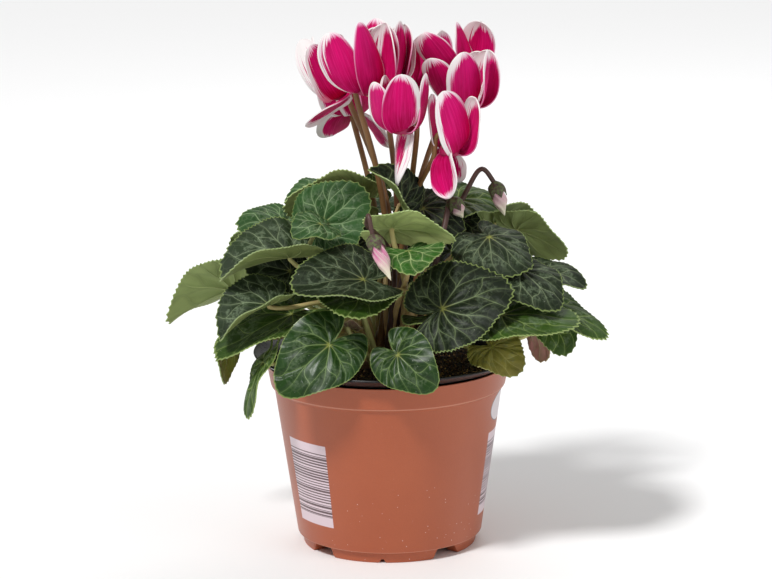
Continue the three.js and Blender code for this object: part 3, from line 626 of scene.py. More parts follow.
def collar_finish():
    """Thin black plastic with dust."""
    f = Finish("black_plastic", Specular_IOR_Level=0.3)
    where = f.place()
    dust = f.rise(f.noise(where, 0.5, 6), 0.52, 0.75)
    f.set("Base Color", f.blend(dust * 0.2, "#0b0b0c", "#3a3634"))
    f.set("Roughness", 0.3 + dust * 0.35)
    f.relief(f.noise(where, 0.25, 2), 0.1, 0.0006)
    return f.material


def soil_finish():
    """Dark peat with paler lumps."""
    f = Finish("peat", Roughness=0.95)
    where = f.place()
    grain = f.noise(where, 0.55, 6)
    brown = f.blend(f.rise(grain, 0.4, 0.7), "#150d08", "#3a281b")
    lumps = f.rise(f.noise(where, 0.12, 2), 0.5, 0.8)
    f.set("Base Color", f.blend(lumps * 0.5, brown, "#4a3320"))
    f.relief(grain, 0.8, 0.001)
    return f.material


def crumb_finish():
    """Crumbs and bark chips, each in a brown of its own."""
    f = Finish("crumbs", Roughness=0.9)
    tone = f.attribute("crumb_tone", "Fac")
    brown = f.blend(tone, "#1a100a", "#6d4c32")
    f.set("Base Color", f.blend(f.rise(tone, 0.82, 0.97), brown, "#a8835c"))
    f.relief(f.noise(f.place(), 2.0, 3), 0.5, 0.0005)
    return f.material


def mottled_finish(name, rough, tones, grain, clear=None, bumps=None, relief=None):
    """Two tones in patches. grain and bumps are a noise's scale and detail, clear is where the
    patches begin and end, and relief is the bumps' strength and distance."""
    f = Finish(name, Roughness=rough)
    where = f.place()
    patches = f.noise(where, *grain)
    f.set("Base Color", f.blend(f.rise(patches, *clear) if clear else patches, *tones))
    if relief:
        f.relief(f.noise(where, *bumps) if bumps else patches, *relief)
    return f.material


def stalk_finish(name, tones, rough):
    """Living stalks: tone from one stalk to the next, redder towards the foot, faintly banded."""
    f = Finish(name, Roughness=rough)
    where = f.place()
    tone, along, seed = f.split(f.attribute("stalk_tone"))
    *_, z = f.split(where)
    pale, brown, red = tones
    body = f.blend(tone, pale, brown)
    body = f.blend(f.fall(along, 0.0, 0.5) * (0.1 + tone * 0.5), body, red)
    mottled = f.rise(f.noise(where, 0.35, 4), 0.45, 0.75)
    body = f.blend(mottled * (0.1 + tone * 0.3), body, red)
    bands = f.noise(f.joined(seed, 0, z), 1.4, 2)
    f.set("Base Color", f.blend(bands * 0.12, body, "#2f2018"))
    f.relief(f.noise(where, 1.8, 2), 0.15, 0.0003)
    return f.material


def drawn(f, away, width):
    """A soft line of that width where the distance is 0."""
    return f.fall(away / width, 0.45, 1.35)


def vein_lines(f, side, ahead, share, seed):
    """How near a point of the blade is to a vein, from 0 to 1, and how far it is from one in
    millimetres. Ribs leave the foot every VEIN_SPACING, fork half way, and meet in arches."""
    plane = f.joined(side, ahead, seed)
    shift = f.noise(plane, 0.03, 1) - 0.5
    sway = f.maths("SINE", share * 7 + seed) * share * VEIN_SWAY
    angle = f.maths("ARCTAN2", side, ahead)
    turn = (angle - sway) / (1 - share * VEIN_SWEEP)
    radius = f.maths("SQRT", side * side + ahead * ahead)
    half = VEIN_SPACING / 2
    straight = f.maths("PINGPONG", turn, half)
    wander = (f.noise(plane, 0.05, 2) - 0.5) * (0.25 + share * 0.45) * f.rise(straight, 0.0, half * 0.7)
    off = f.maths("PINGPONG", turn + wander, half)
    rib = straight * radius
    fork = abs(off - f.rise(share + shift * 0.3, 0.4, 0.8) * half) * radius
    twig = abs(off - f.rise(share + shift * 0.4, 0.15, 0.5) * half) * radius
    seam = (half - off) * radius
    width = 0.52 - share * 0.3
    behind = f.rise(abs(angle), 1.3, 2.4)
    line = drawn(f, rib, width) * (1 - f.rise(share, 0.4, 0.9) * 0.55) * (1 - behind * 0.5)
    line = line.most(drawn(f, fork, width * 0.85) * f.rise(share, 0.36, 0.5) * 0.85)
    line = line.most(drawn(f, seam, width * 0.8) * f.rise(share, 0.76, 0.84) * 0.7)
    line = line.most(drawn(f, twig, width * 0.6) * f.within(share, 0.2, 0.55, 0.06) * 0.3)
    mesh = f.cells(plane, 0.2, "DISTANCE_TO_EDGE")
    return line.most(f.fall(mesh * 5, 0.04, 0.3) * 0.12), rib.least(fork)


def leaf_finish():
    """Upper side of a blade: veins over a dark ground, silver between them, and a pale margin."""
    f = Finish("leaf_upper", Coat_Roughness=0.3, Specular_IOR_Level=0.15)
    side, ahead, share = f.split(f.attribute("leaf_plane"))
    strength, silver, seed = f.split(f.attribute("leaf_marks"))
    rough = f.attribute("leaf_rough", "Fac")
    vein = f.attribute("leaf_vein", "Color")
    where = f.place()
    line, away = vein_lines(f, side, ahead, share, seed)
    cloud = f.noise(where, 0.07, 3)
    speckle = f.noise(where, 0.8, 3)
    body = f.blend(f.rise(cloud, 0.35, 0.7) * 0.4, f.attribute("leaf_ground", "Color"), "#10190b")
    body = f.blend(f.fall(away, 0.2, 1.9) * 0.14 * strength, body, vein)
    patches = f.rise(f.noise(where, 0.22, 4), 0.47, 0.55)
    zone = f.within(share + cloud * 0.2, 0.5, 0.9, 0.08) * patches
    body = f.blend(zone * f.rise(speckle, 0.3, 0.62) * silver, body, "#76876a")
    body = f.blend(line * strength, body, f.blend(f.rise(share, 0.02, 0.25), "#a9ab62", vein))
    body = f.blend(f.fall(share, 0.0, 0.1) * 0.5, body, "#8d9440")
    body = f.blend(f.rise(share, 0.97, 0.995) * 0.65, body, "#90a35c")
    specks = f.fall(f.cells(where, 0.4), 0.05, 0.1)
    f.set("Base Color", f.blend(specks * f.rise(cloud, 0.4, 0.6) * 0.6, body, "#c3c9b8"))
    gloss = (0.5 - rough).most(0)
    f.set("Coat Weight", gloss)
    f.set("Roughness", rough + speckle * 0.12)
    quilt = f.rise(away, 0.0, 3.5) * (0.8 + gloss * 7)
    f.relief(speckle * 0.15 + cloud * 2.2 + quilt - line * 0.4, 0.6, 0.0008)
    return f.material


def under_finish():
    """Underside of a blade: pale, with the ribs standing proud."""
    f = Finish("leaf_underside", Roughness=0.6, Specular_IOR_Level=0.2)
    side, ahead, share = f.split(f.attribute("leaf_plane"))
    *_, seed = f.split(f.attribute("leaf_marks"))
    where = f.place()
    line, away = vein_lines(f, side, ahead, share, seed)
    cloud = f.rise(f.noise(where, 0.08, 3), 0.35, 0.7)
    body = f.blend(cloud * 0.3, f.attribute("leaf_under", "Color"), "#6a7c45")
    body = f.blend(f.fall(away, 0.3, 2.5) * 0.2, body, "#56673a")
    body = f.blend(line * 0.25, body, "#a3b07a")
    f.set("Base Color", f.blend(f.rise(share, 0.965, 0.99) * 0.5, body, "#9aa862"))
    f.relief(f.noise(where, 0.8, 4) * 0.15 + line * 0.6, 0.4, 0.0006)
    return f.material


def rib_finish():
    """Ribs under a blade, paler than its underside."""
    f = Finish("leaf_rib", Roughness=0.55, Specular_IOR_Level=0.2)
    where = f.place()
    body = f.blend(0.4, f.attribute("leaf_under", "Color"), "#b4bd84")
    f.set("Base Color", f.blend(f.noise(where, 0.4, 3) * 0.5, body, "#7d8c50"))
    f.relief(f.noise(where, 1.5, 2), 0.15, 0.0003)
    return f.material


def margin_finish():
    """The cut edge of a blade, between its underside and its veins in colour."""
    f = Finish("leaf_margin", Roughness=0.5)
    pale = f.blend(0.5, f.attribute("leaf_under", "Color"), f.attribute("leaf_vein", "Color"))
    f.set("Base Color", f.blend(f.noise(f.place(), 0.2, 2) * 0.6, pale, "#7f9448"))
    return f.material


def petal_finish():
    """Magenta with streaks along the petal, feathering out into a margin that is white at one side."""
    f = Finish("petal", Roughness=0.6, Specular_IOR_Level=0.06)
    across, share, edge = f.split(f.attribute("petal_place"))
    white, lean, seed = f.split(f.attribute("petal_marks"))
    streaks = f.noise(f.joined(across * 11 + seed, share * 1.5 + seed, seed), 1.0, 6)
    fine = f.noise(f.joined(across * 34 + seed, share * 3.0, seed), 1.0, 5)
    cloud = f.noise(f.joined(across * 1.2, share * 2.4 + seed, seed), 1.0, 2)
    combed = f.rise(streaks, 0.35, 0.65)
    hairs = f.rise(fine, 0.38, 0.62)
    body = f.blend(f.rise(cloud, 0.3, 0.7), "#b30047", "#dc0468")
    body = f.blend(f.fall(share, 0.15, 0.7) * 0.35, body, "#8c0035")
    body = f.blend(hairs * combed * 0.35, body, "#ee3796")
    body = f.blend((1 - hairs) * 0.3, body, "#930036")
    body = f.blend(f.rise(share, 0.2, 0.9) * f.maths("FRACT", seed) * 0.3, body, "#ee2f97")
    body = f.blend(f.fall(share, 0.05, 0.3) * 0.7, body, "#6a0426")
    side = f.rise(across * lean, -0.1, 0.95) + (1 - abs(lean)) + f.rise(share, 0.65, 1.0) * 0.45
    reach_in = white * side * (0.3 + combed + hairs * 0.6) + 0.25
    pale = f.fall(edge - reach_in, -0.5, 0.35)
    flush = f.blend(f.rise(reach_in - edge, 0.0, 1.6), "#e58cb8", "#f2eceb")
    f.set("Base Color", f.blend(pale * f.rise(share, 0.02, 0.14), body, flush))
    f.relief(streaks * 0.6 + fine * 0.5, 0.35, 0.0006)
    return f.material


def bud_finish():
    """Rolled petals of a bud: cream at the tip, pink towards the calyx, streaked along the twist."""
    f = Finish("bud_petals", Roughness=0.45)
    along, across, tone = f.split(f.attribute("bud_place"))
    streaks = f.noise(f.joined(across * 4, along * 1.5, tone), 1.0, 4)
    body = f.blend(f.rise(along, 0.35, 0.95), "#d9b9bb", "#e9e3c6")
    pink = f.rise(streaks, 0.42, 0.6) * f.fall(along, 0.2, 0.85) * tone
    f.set("Base Color", f.blend(pink, body, "#c9488f"))
    f.relief(streaks, 0.3, 0.0005)
    return f.material


FINISHES = {
    "pot": pot_finish(),
    "collar": collar_finish(),
    "soil": soil_finish(),
    "crumbs": crumb_finish(),
    "corm": mottled_finish("corm_skin", 0.85, ("#3a281c", "#7a5a40"), (0.3, 5), relief=(0.6, 0.0015)),
    "leaf_stalk": stalk_finish("leaf_stalk", ("#d3da8e", "#d0b37c", "#bb8a6c"), 0.45),
    "flower_stalk": stalk_finish("flower_stalk", ("#8f6a3e", "#7f5833", "#6d4531"), 0.5),
    "bud_stalk": stalk_finish("bud_stalk", ("#5a4032", "#4a2f2a", "#3d2724"), 0.5),
    "leaf": leaf_finish(),
    "under": under_finish(),
    "rib": rib_finish(),
    "margin": margin_finish(),
    "petal": petal_finish(),
    "throat": mottled_finish(
        "throat", 0.5, ("#8a0a3a", "#b3145a"), (0.5, 3), bumps=(1.2, 2), relief=(0.2, 0.0004)
    ),
    "pistil": mottled_finish("pistil", 0.5, ("#b9b06a", "#d9d6a0"), (0.8, 2)),
    "calyx": mottled_finish(
        "calyx", 0.6, ("#5d6b3c", "#4c3533"), (0.7, 5), clear=(0.38, 0.62), relief=(0.4, 0.0005)
    ),
    "bud": bud_finish(),
    "floor": Finish("floor", Roughness=0.9, Base_Color=(0.92, 0.92, 0.92, 1)).material,
}


# Meshes
MARK_KINDS = {1: ("FLOAT", "value"), 3: ("FLOAT_VECTOR", "vector"), 4: ("FLOAT_COLOR", "color")}


def linked(name, data):
    """A new object with that name and data, in the scene."""
    made = bpy.data.objects.new(name, data)
    bpy.context.collection.objects.link(made)
    return made


def mesh_object(name, points, faces, finishes, slots=None, marks=None, sharp=40, edges=()):
    """A new object from points in millimetres. slots gives each face's finish by number, and marks
    gives named point attributes: one number, three for a vector, or four for a colour."""
    mesh = bpy.data.meshes.new(name)
    mesh.from_pydata((np.asarray(points) * MM).tolist(), edges, faces)
    for finish in finishes:
        mesh.materials.append(FINISHES[finish])
    if slots is not None:
        mesh.polygons.foreach_set("material_index", slots)
    for label, values in (marks or {}).items():
        values = np.asarray(values, dtype=np.float32)
        kind, field = MARK_KINDS[values.shape[1]]
        mesh.attributes.new(label, kind, "POINT").data.foreach_set(field, values.ravel())
    mesh.polygons.foreach_set("use_smooth", [True] * len(mesh.polygons))
    mesh.update()
    mesh.set_sharp_from_angle(angle=math.radians(sharp))
    return linked(name, mesh)


def placed(piece, slot, *nodes):
    """Rides the one body and stands for the nodes. slot is not used."""
    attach(piece, "root")
    if nodes:
        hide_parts(*nodes)
    return piece


def evaluated(piece):
    """A plain mesh of the piece as its modifiers leave it."""
    return bpy.data.meshes.new_from_object(piece.evaluated_get(bpy.context.evaluated_depsgraph_get()))


def outward(points, faces):
    """The faces, each turned over if the closed shape has them facing in."""
    corners = np.asarray(points)
    volume = 0.0
    for first, *others in faces:
        for second, third in zip(others, others[1:]):
            volume += np.dot(corners[first], np.cross(corners[second], corners[third]))
    return faces if volume > 0 else [face[::-1] for face in faces]


def grid_faces(rows, columns, around):
    """Quads of a grid of points, row by row. around closes each row on itself."""
    faces = []
    for i in range(rows - 1):
        for j in range(columns if around else columns - 1):
            k = (j + 1) % columns
            faces.append((i * columns + j, i * columns + k, (i + 1) * columns + k, (i + 1) * columns + j))
    return faces


def capped(rows, columns):
    """Quads of a grid whose rows close on themselves, and a face over each end."""
    first = tuple(range(columns))
    last = tuple(range((rows - 1) * columns, rows * columns))
    return [*grid_faces(rows, columns, True), first[::-1], last]


def open_sheet(rows, columns):
    """Quads of a grid that is open all round, and the points of its rim in order."""
    last = (rows - 1) * columns
    rim = [
        *range(columns),
        *range(2 * columns - 1, rows * columns, columns),
        *range(last + columns - 2, last - 1, -1),
        *range(last - columns, 0, -columns),
    ]
    return grid_faces(rows, columns, False), rim


def sheet_normals(points, faces):
    """Each point's normal on an open sheet."""
    normals = np.zeros_like(points)
    for corners in (np.array([f[:3] for f in faces]), np.array([(f[0], f[2], f[-1]) for f in faces])):
        a, b, c = (points[corners[:, i]] for i in range(3))
        normal = np.cross(b - a, c - a)
        for i in range(3):
            np.add.at(normals, corners[:, i], normal)
    return normals / np.maximum(np.linalg.norm(normals, axis=1), 1e-9)[:, None]


def shell(points, faces, rim, thickness):
    """Both sides of a sheet and its rim, with the finish number of each face: 0 for the side that
    the faces look out of, 1 for the other and 2 for the rim."""
    normals = sheet_normals(points, faces)
    count = len(points)
    both = np.vstack([points + normals * thickness / 2, points - normals * thickness / 2])
    back = [tuple(count + k for k in face[::-1]) for face in faces]
    edge = [(here, count + here, count + after, after) for here, after in zip(rim, [*rim[1:], rim[0]])]
    slots = [0] * len(faces) + [1] * len(back) + [2] * len(edge)
    return both, [*faces, *back, *edge], slots


def spun_points(profile, turns):
    """Points of a [radius, height] profile at each turn in degrees."""
    angles = np.radians(turns)
    rings = [
        np.column_stack([r * np.cos(angles), r * np.sin(angles), np.full(len(angles), z)])
        for r, z in profile
    ]
    return np.vstack(rings)


def rounded(profile, bevel, steps):
    """A closed profile with each corner rounded off by up to bevel."""
    made = []
    count = len(profile)
    for i in range(count):
        before, here, after = (point(profile[(i + k) % count]) for k in (-1, 0, 1))
        back, on = before - here, after - here
        cut = min(bevel, 0.4 * np.linalg.norm(back), 0.4 * np.linalg.norm(on))
        start, end = here + unit(back) * cut, here + unit(on) * cut
        for t in np.linspace(0, 1, steps + 1):
            made.append(tuple((1 - t) ** 2 * start + 2 * t * (1 - t) * here + t ** 2 * end))
    return made


def merge_doubles(piece):
    """Joins points that lie on each other, such as a pole's."""
    work = bmesh.new()
    work.from_mesh(piece.data)
    bmesh.ops.remove_doubles(work, verts=work.verts, dist=0.05 * MM)
    bmesh.ops.dissolve_degenerate(work, edges=work.edges, dist=0.01 * MM)
    work.to_mesh(piece.data)
    work.free()


# Geometry Nodes
def geometry_tree(name, sizes):
    """A tree with a geometry input, a named input for each size, and a geometry output."""
    group = bpy.data.node_groups.new(name, "GeometryNodeTree")
    group.interface.new_socket("Geometry", in_out="INPUT", socket_type="NodeSocketGeometry")
    for label, value in sizes.items():
        kind = "NodeSocketInt" if isinstance(value, int) else "NodeSocketFloat"
        socket = group.interface.new_socket(label, in_out="INPUT", socket_type=kind)
        socket.default_value = value
    group.interface.new_socket("Geometry", in_out="OUTPUT", socket_type="NodeSocketGeometry")
    tree = Tree(group)
    return group, tree, tree.node("NodeGroupInput")


def finished_tree(tree, geometry, finish):
    """Ends the tree: copies made real, shaded smooth, and given their material."""
    real = tree.node("GeometryNodeRealizeInstances", inputs=[geometry])
    smooth = tree.node("GeometryNodeSetShadeSmooth", inputs={"Geometry": real})
    dressed = tree.node("GeometryNodeSetMaterial", inputs={0: smooth, "Material": FINISHES[finish]})
    tree.node("NodeGroupOutput", inputs=[dressed])


def grown(name, source, group, sizes):
    """What the tree makes of the source with those sizes, as a plain mesh object."""
    modifier = source.modifiers.new(group.name, "NODES")
    modifier.node_group = group
    for socket in group.interface.items_tree:
        if socket.name in sizes:
            modifier[socket.identifier] = sizes[socket.name]
    made = evaluated(source)
    source.modifiers.remove(modifier)
    made.name = name
    bpy.data.objects.remove(source)
    return linked(name, made)


def tube_tree(finish):
    """Round tubes along lines of edges, as wide as each point's own width."""
    group, tree, start = geometry_tree(f"{finish}_tubes", {"Width": 1.0, "Sides": 10})
    curve = tree.node("GeometryNodeMeshToCurve", inputs=[start.other("Geometry")])
    width = tree.node("GeometryNodeInputNamedAttribute", {"data_type": "FLOAT"}, {"Name": "width"})
    ring = tree.node(
        "GeometryNodeCurvePrimitiveCircle", inputs={"Resolution": start.other("Sides"), "Radius": 1.0}
    )
    tube = tree.node("GeometryNodeCurveToMesh", inputs={
        "Curve": curve, "Profile Curve": ring, "Scale": width * start.other("Width"), "Fill Caps": True,
    })
    finished_tree(tree, tube, finish)
    return group


def crumb_tree():
    """Crumbs strewn over a surface, each of its own size, turn and tone."""
    sizes = {"Density": 1.0, "Smallest": 0.001, "Largest": 0.002, "Seed": 1}
    group, tree, start = geometry_tree("strewn_crumbs", sizes)
    spots = tree.node("GeometryNodeDistributePointsOnFaces", inputs={
        "Mesh": start.other("Geometry"), "Density": start.other("Density"), "Seed": start.other("Seed"),
    })
    crumb = tree.node("GeometryNodeMeshIcoSphere", inputs={"Radius": 1.0, "Subdivisions": 1})

    def chance(kind, low, high, seed):
        first = 0 if kind == "FLOAT_VECTOR" else 2
        inputs = {first: low, first + 1: high, "Seed": seed}
        return tree.node("FunctionNodeRandomValue", {"data_type": kind}, inputs, first // 2)

    turn = chance("FLOAT_VECTOR", (0, 0, 0), (6.3, 6.3, 6.3), 3)
    size = chance("FLOAT", start.other("Smallest"), start.other("Largest"), 4)
    flat = chance("FLOAT_VECTOR", (0.7, 0.5, 0.4), (1.5, 1.0, 0.8), 5)
    copies = tree.node("GeometryNodeInstanceOnPoints", inputs={
        "Points": spots, "Instance": crumb, "Rotation": turn, "Scale": tree.scaled(flat, size),
    })
    toned = tree.node(
        "GeometryNodeStoreNamedAttribute",
        {"data_type": "FLOAT", "domain": "INSTANCE"},
        {"Geometry": copies, "Name": "crumb_tone", "Value": chance("FLOAT", 0.0, 1.0, 6)},
    )
    finished_tree(tree, toned, "crumbs")
    return group


# Pot
def foot_rise(turn):
    """How high the foot ring's lower edge stands at a turn, over its gaps and notches."""
    height = 0.0
    for gap in FOOT_GAPS:
        for aside, low, high, top, _ in FOOT_OPENINGS:
            off = math.radians(abs((turn - gap - aside + 180) % 360 - 180)) * FOOT_RADIUS
            share = (low - 2 * off) / (low - high)
            height = max(height, top * float(smoothstep(share, 0.0, 1.0)))
    return height


def foot_turns():
    """Extra turns at the sides of the foot ring's gaps and notches."""
    return {
        round((gap + aside + sign * step) % 360, 3)
        for gap in FOOT_GAPS
        for aside, *_, steps in FOOT_OPENINGS
        for step in steps
        for sign in (-1, 1)
    }


def pot_shell():
    """The pot's wall, floor and foot ring as one closed shell, then its drain holes."""
    outer = rounded([
        (FOOT_INNER_RADIUS, FLOOR_BOTTOM),
        (FOOT_INNER_RADIUS + 1, 0),
        (FOOT_RADIUS - 0.6, 0),
        (FOOT_RADIUS, FOOT_HEIGHT),
        (BODY_BOTTOM_RADIUS, FOOT_HEIGHT),
        (BODY_TOP_RADIUS, BAND_BOTTOM - 1),
        (BAND_BOTTOM_RADIUS, BAND_BOTTOM),
        (BAND_BOTTOM_RADIUS + 0.4, BAND_BOTTOM + 1.5),
        (RIM_RADIUS - 0.4, POT_HEIGHT - 1.2),
        (RIM_RADIUS, POT_HEIGHT),
        (RIM_RADIUS - WALL, POT_HEIGHT),
        (BODY_TOP_RADIUS - 0.2, BAND_BOTTOM),
        (BODY_BOTTOM_RADIUS - WALL, FLOOR_TOP),
        (FOOT_INNER_RADIUS - 3, FLOOR_TOP),
        (FOOT_INNER_RADIUS - 3, FLOOR_BOTTOM),
    ], 0.6, 2)
    outer = [spot for spot in outer if spot[0] > FOOT_INNER_RADIUS - 2]
    profile = [(POLE, FLOOR_BOTTOM), (20, FLOOR_BOTTOM), *outer, (20, FLOOR_TOP), (POLE, FLOOR_TOP)]
    turns = sorted({*np.arange(0, 360, POT_STEP), *foot_turns()})
    columns = len(turns)
    points = spun_points(profile, turns)
    rises = np.array([foot_rise(turn) for turn in turns])
    for row, (radius, height) in enumerate(profile):
        if radius > FOOT_INNER_RADIUS - 1 and height < FLOOR_BOTTOM:
            ring = points[row * columns:(row + 1) * columns]
            ring[:, 2] = np.maximum(ring[:, 2], rises + height * 0.02)
    faces = outward(points, capped(len(profile), columns))
    pot = mesh_object("pot_shell", points, faces, ["pot"], sharp=35)
    drill(pot)
    placed(pot, "pot", "pot")


def drill(pot):
    """Cuts the drain holes through the pot's floor."""
    tool = bmesh.new()
    for i in range(DRAIN_COUNT):
        centre = turned(i * 360 / DRAIN_COUNT, DRAIN_CIRCLE, (FLOOR_BOTTOM + FLOOR_TOP) / 2)
        bmesh.ops.create_cone(
            tool, cap_ends=True, segments=DRAIN_SIDES, radius1=DRAIN_RADIUS * MM,
            radius2=DRAIN_RADIUS * MM, depth=DRAIN_CUT * MM,
            matrix=Matrix.Translation(Vector(centre) * MM),
        )
    mesh = bpy.data.meshes.new("drain_tool")
    tool.to_mesh(mesh)
    tool.free()
    cutter = linked("drain_tool", mesh)
    cut = pot.modifiers.new("drains", "BOOLEAN")
    cut.operation = "DIFFERENCE"
    cut.solver = "EXACT"
    cut.object = cutter
    made = evaluated(pot)
    pot.modifiers.remove(cut)
    pot.data = made
    bpy.data.objects.remove(cutter)


# Collar
def collar_ring():
    """The collar: a skirt inside the rim that flares out above it."""
    profile = rounded([
        (SKIRT_RADIUS - COLLAR_WALL - SKIRT_TAPER, COLLAR_BOTTOM),
        (SKIRT_RADIUS - SKIRT_TAPER, COLLAR_BOTTOM),
        (SKIRT_RADIUS, COLLAR_BEND),
        (RIM_RADIUS + 1, COLLAR_BEND + 1.2),
        (COLLAR_RADIUS, COLLAR_TOP - 1),
        (COLLAR_RADIUS - 0.5, COLLAR_TOP),
        (RIM_RADIUS, COLLAR_BEND + 2.6),
        (SKIRT_RADIUS - COLLAR_WALL, COLLAR_BEND + 1),
    ], 0.5, 3)
    turns = np.arange(0, 360, COLLAR_STEP)
    points = spun_points(profile, turns)
    closed = grid_faces(len(profile) + 1, len(turns), True)
    faces = [tuple(k % len(points) for k in face) for face in closed]
    ring = mesh_object("collar_ring", points, outward(points, faces), ["collar"], sharp=50)
    placed(ring, "leaf_collar", "leaf_collar")


def collar_crumbs():
    """A few pale crumbs lying on the collar at the front right."""
    turns = np.arange(*CRUMBED_TURNS, POT_STEP)
    profile = [
        (SKIRT_RADIUS - COLLAR_WALL + 0.3, COLLAR_BEND + 1.3),
        (RIM_RADIUS, COLLAR_BEND + 2.7),
        (RIM_RADIUS + 3, COLLAR_BEND + 3.9),
    ]
    faces = grid_faces(len(profile), len(turns), False)
    strewn("collar_crumbs", spun_points(profile, turns), faces, COLLAR_CRUMBS)


# Soil and corm
def soil_height(x, y):
    """The soil's mounded and lumpy surface."""
    lumps = sum(noise.noise(Vector((x, y, layer)) * scale) * high for layer, scale, high in SOIL_LUMPS)
    return SOIL_LEVEL + SOIL_MOUND * math.cos(math.hypot(x, y) / MOUND_SPREAD) + lumps


def soil_bed():
    """Soil with a lumpy top and smooth sides, closed below, and the crumbs lying on it."""
    turns = np.arange(0, 360, SOIL_STEP)
    columns = len(turns)
    rings = [POLE, *np.linspace(3, SOIL_RADIUS - 0.4, SOIL_RINGS)]
    sides = [
        (SOIL_RADIUS, SOIL_LEVEL - 1.5),
        (SOIL_RADIUS, BAND_BOTTOM + 2),
        (BODY_TOP_RADIUS - 0.6, BAND_BOTTOM - 0.3),
        (BODY_BOTTOM_RADIUS - WALL - GAP, FLOOR_TOP + GAP),
        (POLE, FLOOR_TOP + GAP),
    ]
    points = spun_points([*[(radius, 0) for radius in rings], *sides], turns)
    surface = points[:len(rings) * columns]
    for spot in surface:
        spot[2] = soil_height(spot[0], spot[1])
    faces = grid_faces(len(rings) + len(sides), columns, True)
    bed = mesh_object("soil_bed", points, outward(points, faces), ["soil"], sharp=60)
    merge_doubles(bed)
    placed(bed, "soil", "soil")
    shown = [face for face in grid_faces(len(rings), columns, True) if min(face) > BARE_RINGS * columns]
    strewn("soil_crumbs", surface, [face[::-1] for face in shown], SOIL_CRUMBS, "soil")


def strewn(name, points, faces, sizes, *nodes):
    """Crumbs on a patch of surface, and not the patch itself."""
    patch = mesh_object(f"{name}_patch", points, faces, ["soil"])
    placed(grown(name, patch, crumb_tree(), sizes), "soil", *nodes)


def corm():
    """The corm: a flattened knobbly ball, its top above the soil."""
    ball = bmesh.new()
    bmesh.ops.create_icosphere(ball, subdivisions=5, radius=1)
    ball.verts.index_update()
    points = []
    for spot in ball.verts:
        lumps = 1 - sum(deep * abs(noise.noise(spot.co * scale)) for scale, deep in CORM_KNOBS)
        size = point((CORM_RADIUS, CORM_RADIUS, CORM_HALF_HEIGHT)) * lumps
        points.append(point(spot.co) * size + (0, 0, CORM_CENTRE))
    faces = [[spot.index for spot in face.verts] for face in ball.faces]
    ball.free()
    placed(mesh_object("corm", points, faces, ["corm"], sharp=180), "stalks", "corm_and_stalks")


# Leaves
def reach(angle):
    """How far the blade's edge stands from the foot at an angle from the midrib."""
    heart = sum(share * np.cos(k * angle) for k, share in enumerate(HEART))
    tip = TIP_REACH * np.exp(-((angle / TIP_WIDTH) ** 2))
    notch = (math.pi - np.abs(angle)) / NOTCH_ANGLE
    return (heart + tip) * (1 - NOTCH_DEPTH * np.exp(-notch * notch))


def leaf_frame(leaf):
    """The ways along the midrib, out of the upper side and across, and the midrib's length."""
    along = leaf["tip"] - leaf["foot"]
    length = np.linalg.norm(along)
    along = along / length
    up = unit(leaf["faces"] - along * np.dot(leaf["faces"], along))
    return along, up, np.cross(along, up), length


def blade_points(leaf, angle, share, stretch=1.0, pucker=0.0):
    """Points of the blade's middle surface, and their places in the flat leaf."""
    along, up, across, length = leaf_frame(leaf)
    radius = share * length * reach(angle) * stretch
    side = radius * np.sin(angle) * leaf["width"]
    ahead = radius * np.cos(angle)
    lift = math.radians(leaf["fold"])
    from_rib = np.sqrt(side * side + RIB_SOFTNESS ** 2) - RIB_SOFTNESS
    step = np.maximum(ahead / length, -0.3)
    arch = BLADE_ARCH * 4 * step * (1 - step)
    wave = BLADE_WAVE * share ** 2 * np.sin(EDGE_WAVES * angle + leaf["phase"])
    turn = (np.arctan2(side, ahead) - rib_sway(leaf, share)) / (1 - share * VEIN_SWEEP)
    quilt = pucker * share * (1 - share) * 2 * (1 - np.cos(turn * 2 * math.pi / VEIN_SPACING))
    height = from_rib * math.sin(lift) + arch + wave + quilt
    flat = np.outer(side * math.cos(lift), across) + np.outer(ahead, along)
    return leaf["foot"] + flat + np.outer(height, up), np.column_stack([side, ahead, share])


def rib_sway(leaf, share):
    """How far a rib turns aside at a share of its way out, in radians."""
    return VEIN_SWAY * share * np.sin(share * 7 + LEAF_SEED * leaf["place"])


def rib_runs(leaf):
    """The ribs that stand proud of the underside: each one's points, radii and colour."""
    share = np.array(RIB_SHARES)
    _, up, _, length = leaf_frame(leaf)
    under = (*linear(LEAF_LOOKS[leaf["look"]][2]), 1)
    for k in RIB_TURNS:
        turn = k * VEIN_SPACING * (1 - share * VEIN_SWEEP) + rib_sway(leaf, share)
        angle = np.arctan2(np.sin(turn) / leaf["width"], np.cos(turn))
        spots, _ = blade_points(leaf, angle, share, pucker=PUCKER)
        radii = np.linspace(*RIB_RADII, len(share)) * (1 - 0.05 * abs(k)) * min(1.2, length / RIB_LENGTH)
        yield spots - up * BLADE_THICKNESS / 2, radii, {"leaf_under": under}


